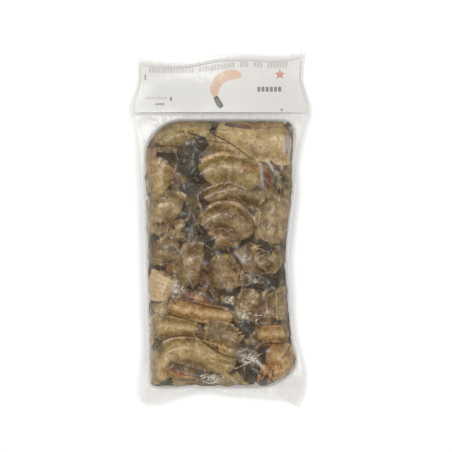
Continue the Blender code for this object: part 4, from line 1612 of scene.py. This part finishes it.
class PRAWNPOUCH_OT_prawns(Operator):
    """Makes the shells of the prawns, on top, between and below, and the loose scraps of shell"""

    bl_idname = "prawn_pouch.prawns"
    bl_label = "Prawns"

    def execute(self, context):
        sizes, colours = settings()
        material = shell_material(colours)
        rows = sizes.shell_rows
        sides = sizes.shell_sides
        layers = (
            ("upper_prawn_shells", UPPER_PRAWNS, rows, sides, UPPER_GAP),
            ("deeper_prawn_shells", DEEPER_PRAWNS, rows // 2, sides, DEEPER_GAP),
            ("second_prawn_shells", second_layer(), rows // 2, sides - 8, SECOND_GAP),
            ("lower_prawn_shells", under_layer(), rows // 2, sides - 6, FILM_GAP),
        )
        for name, prawns, along, around, film_gap in layers:
            shapes = Shapes(*SHELL_VALUES)
            for prawn in prawns:
                add_shell(shapes, prawn, along, around, film_gap)
            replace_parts(shapes.make_object(name, material), "pouch")
        scraps = Shapes(*SHELL_VALUES)
        for scrap in SCRAPS:
            add_scrap(scraps, scrap)
        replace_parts(scraps.make_object("shell_scraps", material), "pouch")
        return {"FINISHED"}


class PRAWNPOUCH_OT_meat(Operator):
    """Makes the cut flesh at the neck of each prawn"""

    bl_idname = "prawn_pouch.meat"
    bl_label = "Neck flesh"

    def execute(self, context):
        _, colours = settings()
        shapes = Shapes()
        for prawn in UPPER_PRAWNS + tuple(under_layer()):
            add_meat(shapes, prawn)
        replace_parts(shapes.make_object("prawn_meat", meat_material(colours)), "pouch")
        return {"FINISHED"}


class PRAWNPOUCH_OT_tail_fans(Operator):
    """Makes the dark tail fans that show between the prawns"""

    bl_idname = "prawn_pouch.tail_fans"
    bl_label = "Tail fans"

    def execute(self, context):
        _, colours = settings()
        shapes = Shapes("rim", "vein", "tip", "frost")
        chance = np.random.default_rng(3)
        for fan in TAIL_FANS:
            add_tail_fan(shapes, fan, chance)
        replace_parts(shapes.make_object("tail_fans", tail_fan_material(colours)), "pouch")
        return {"FINISHED"}


class PRAWNPOUCH_OT_swimmerets(Operator):
    """Makes the small paddles along the bellies of the prawns, and the loose legs and feelers"""

    bl_idname = "prawn_pouch.swimmerets"
    bl_label = "Swimmerets"

    def execute(self, context):
        _, colours = settings()
        shapes = Shapes("tip", "frost", "warmth")
        chance = np.random.default_rng(8)
        for prawn in UPPER_PRAWNS:
            add_swimmerets(shapes, prawn, chance)
        for strand in STRANDS:
            add_strand(shapes, strand)
        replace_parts(shapes.make_object("swimmerets", swimmeret_material(colours)), "pouch")
        return {"FINISHED"}


class PRAWNPOUCH_OT_ice(Operator):
    """Makes the brown ice round the prawns and the white frost on it"""

    bl_idname = "prawn_pouch.ice"
    bl_label = "Ice and frost"

    def execute(self, context):
        sizes, colours = settings()
        glaze = Shapes("rim")
        add_glaze(glaze)
        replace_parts(glaze.make_object("glaze_ice", glaze_material(colours)), "pouch")
        crystals = Shapes()
        chance = np.random.default_rng(5)
        upper, _ = face_heights()
        for x, y in crystal_places(sizes.crystals, chance):
            size = SMALLEST_FLAKE + FLAKE_GROWTH * chance.uniform() ** 3
            height = upper(np.array([x]), np.array([y]))[0] - FILM_GAP - chance.uniform(0.2, 1.6)
            add_crystal(crystals, (x, y, height), size, chance)
        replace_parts(crystals.make_object("ice_crystals", frost_material(colours), 30.0), "pouch")
        return {"FINISHED"}


class PRAWNPOUCH_OT_card(Operator):
    """Gives the header card its board"""

    bl_idname = "prawn_pouch.card"
    bl_label = "Header card"

    def execute(self, context):
        _, colours = settings()
        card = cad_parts["header_card"]
        board = card_material(colours)
        for slot in card.material_slots:
            slot.material = board
        return {"FINISHED"}


class PRAWNPOUCH_OT_print(Operator):
    """Prints plain shapes on the card: rows of bars, a prawn and a star"""

    bl_idname = "prawn_pouch.print"
    bl_label = "Print"

    def execute(self, context):
        _, colours = settings()
        pale, dark, body, tail, star = (Shapes() for _ in range(5))
        add_title_bars(pale)
        for rows, shapes in ((PALE_ROWS, pale), (DARK_ROWS, dark)):
            for row in rows:
                add_bars(shapes, row)
        add_band(body, PRINTED_BODY, 8, print_face, PRINT_THICKNESS)
        add_band(tail, PRINTED_TAIL, 10, print_face, PRINT_THICKNESS)
        add_star(star)
        prints = (
            ("printed_pale_bars", pale, "pale grey ink on board", colours.ink_grey, colours.card),
            ("printed_dark_bars", dark, "dark grey ink on board", colours.ink_dark, colours.ink_grey),
            ("printed_prawn_body", body, "tan ink on board", colours.ink_prawn, colours.card),
            ("printed_prawn_tail", tail, "green-grey ink on board", colours.ink_tail, colours.ink_grey),
            ("printed_star", star, "red ink on board", colours.ink_star, colours.card),
        )
        for name, shapes, finish, ink, light in prints:
            shapes.make_object(name, ink_material(finish, ink, light))
        return {"FINISHED"}


class PRAWNPOUCH_OT_stage(Operator):
    """Makes the floor, the lights and the camera"""

    bl_idname = "prawn_pouch.stage"
    bl_label = "Stage"

    def execute(self, context):
        sizes, colours = settings()
        make_floor(colours)
        make_lights(sizes)
        make_camera(sizes)
        return {"FINISHED"}


OPERATORS = (
    PRAWNPOUCH_OT_film,
    PRAWNPOUCH_OT_prawns,
    PRAWNPOUCH_OT_meat,
    PRAWNPOUCH_OT_tail_fans,
    PRAWNPOUCH_OT_swimmerets,
    PRAWNPOUCH_OT_ice,
    PRAWNPOUCH_OT_card,
    PRAWNPOUCH_OT_print,
    PRAWNPOUCH_OT_stage,
)


class VIEW3D_PT_prawn_pouch(Panel):
    """Lists the pouch's pieces, sizes and colours"""

    bl_label = "Prawn Pouch"
    bl_space_type = "VIEW_3D"
    bl_region_type = "UI"
    bl_category = "Prawn Pouch"

    def draw(self, context):
        for operator in OPERATORS:
            self.layout.operator(operator.bl_idname)
        for group in settings():
            for name in group.__annotations__:
                self.layout.prop(group, name)


CLASSES = (PrawnPouchColours, PrawnPouchSizes, *OPERATORS, VIEW3D_PT_prawn_pouch)


def register():
    for item in CLASSES:
        bpy.utils.register_class(item)
    bpy.types.Scene.prawn_pouch_colours = PointerProperty(type=PrawnPouchColours)
    bpy.types.Scene.prawn_pouch_sizes = PointerProperty(type=PrawnPouchSizes)


def unregister():
    del bpy.types.Scene.prawn_pouch_sizes
    del bpy.types.Scene.prawn_pouch_colours
    for item in reversed(CLASSES):
        bpy.utils.unregister_class(item)


def main():
    register()
    bpy.ops.prawn_pouch.card()
    bpy.ops.prawn_pouch.print()
    bpy.ops.prawn_pouch.ice()
    bpy.ops.prawn_pouch.prawns()
    bpy.ops.prawn_pouch.meat()
    bpy.ops.prawn_pouch.tail_fans()
    bpy.ops.prawn_pouch.swimmerets()
    bpy.ops.prawn_pouch.film()
    bpy.ops.prawn_pouch.stage()


if __name__ == "__main__":
    main()
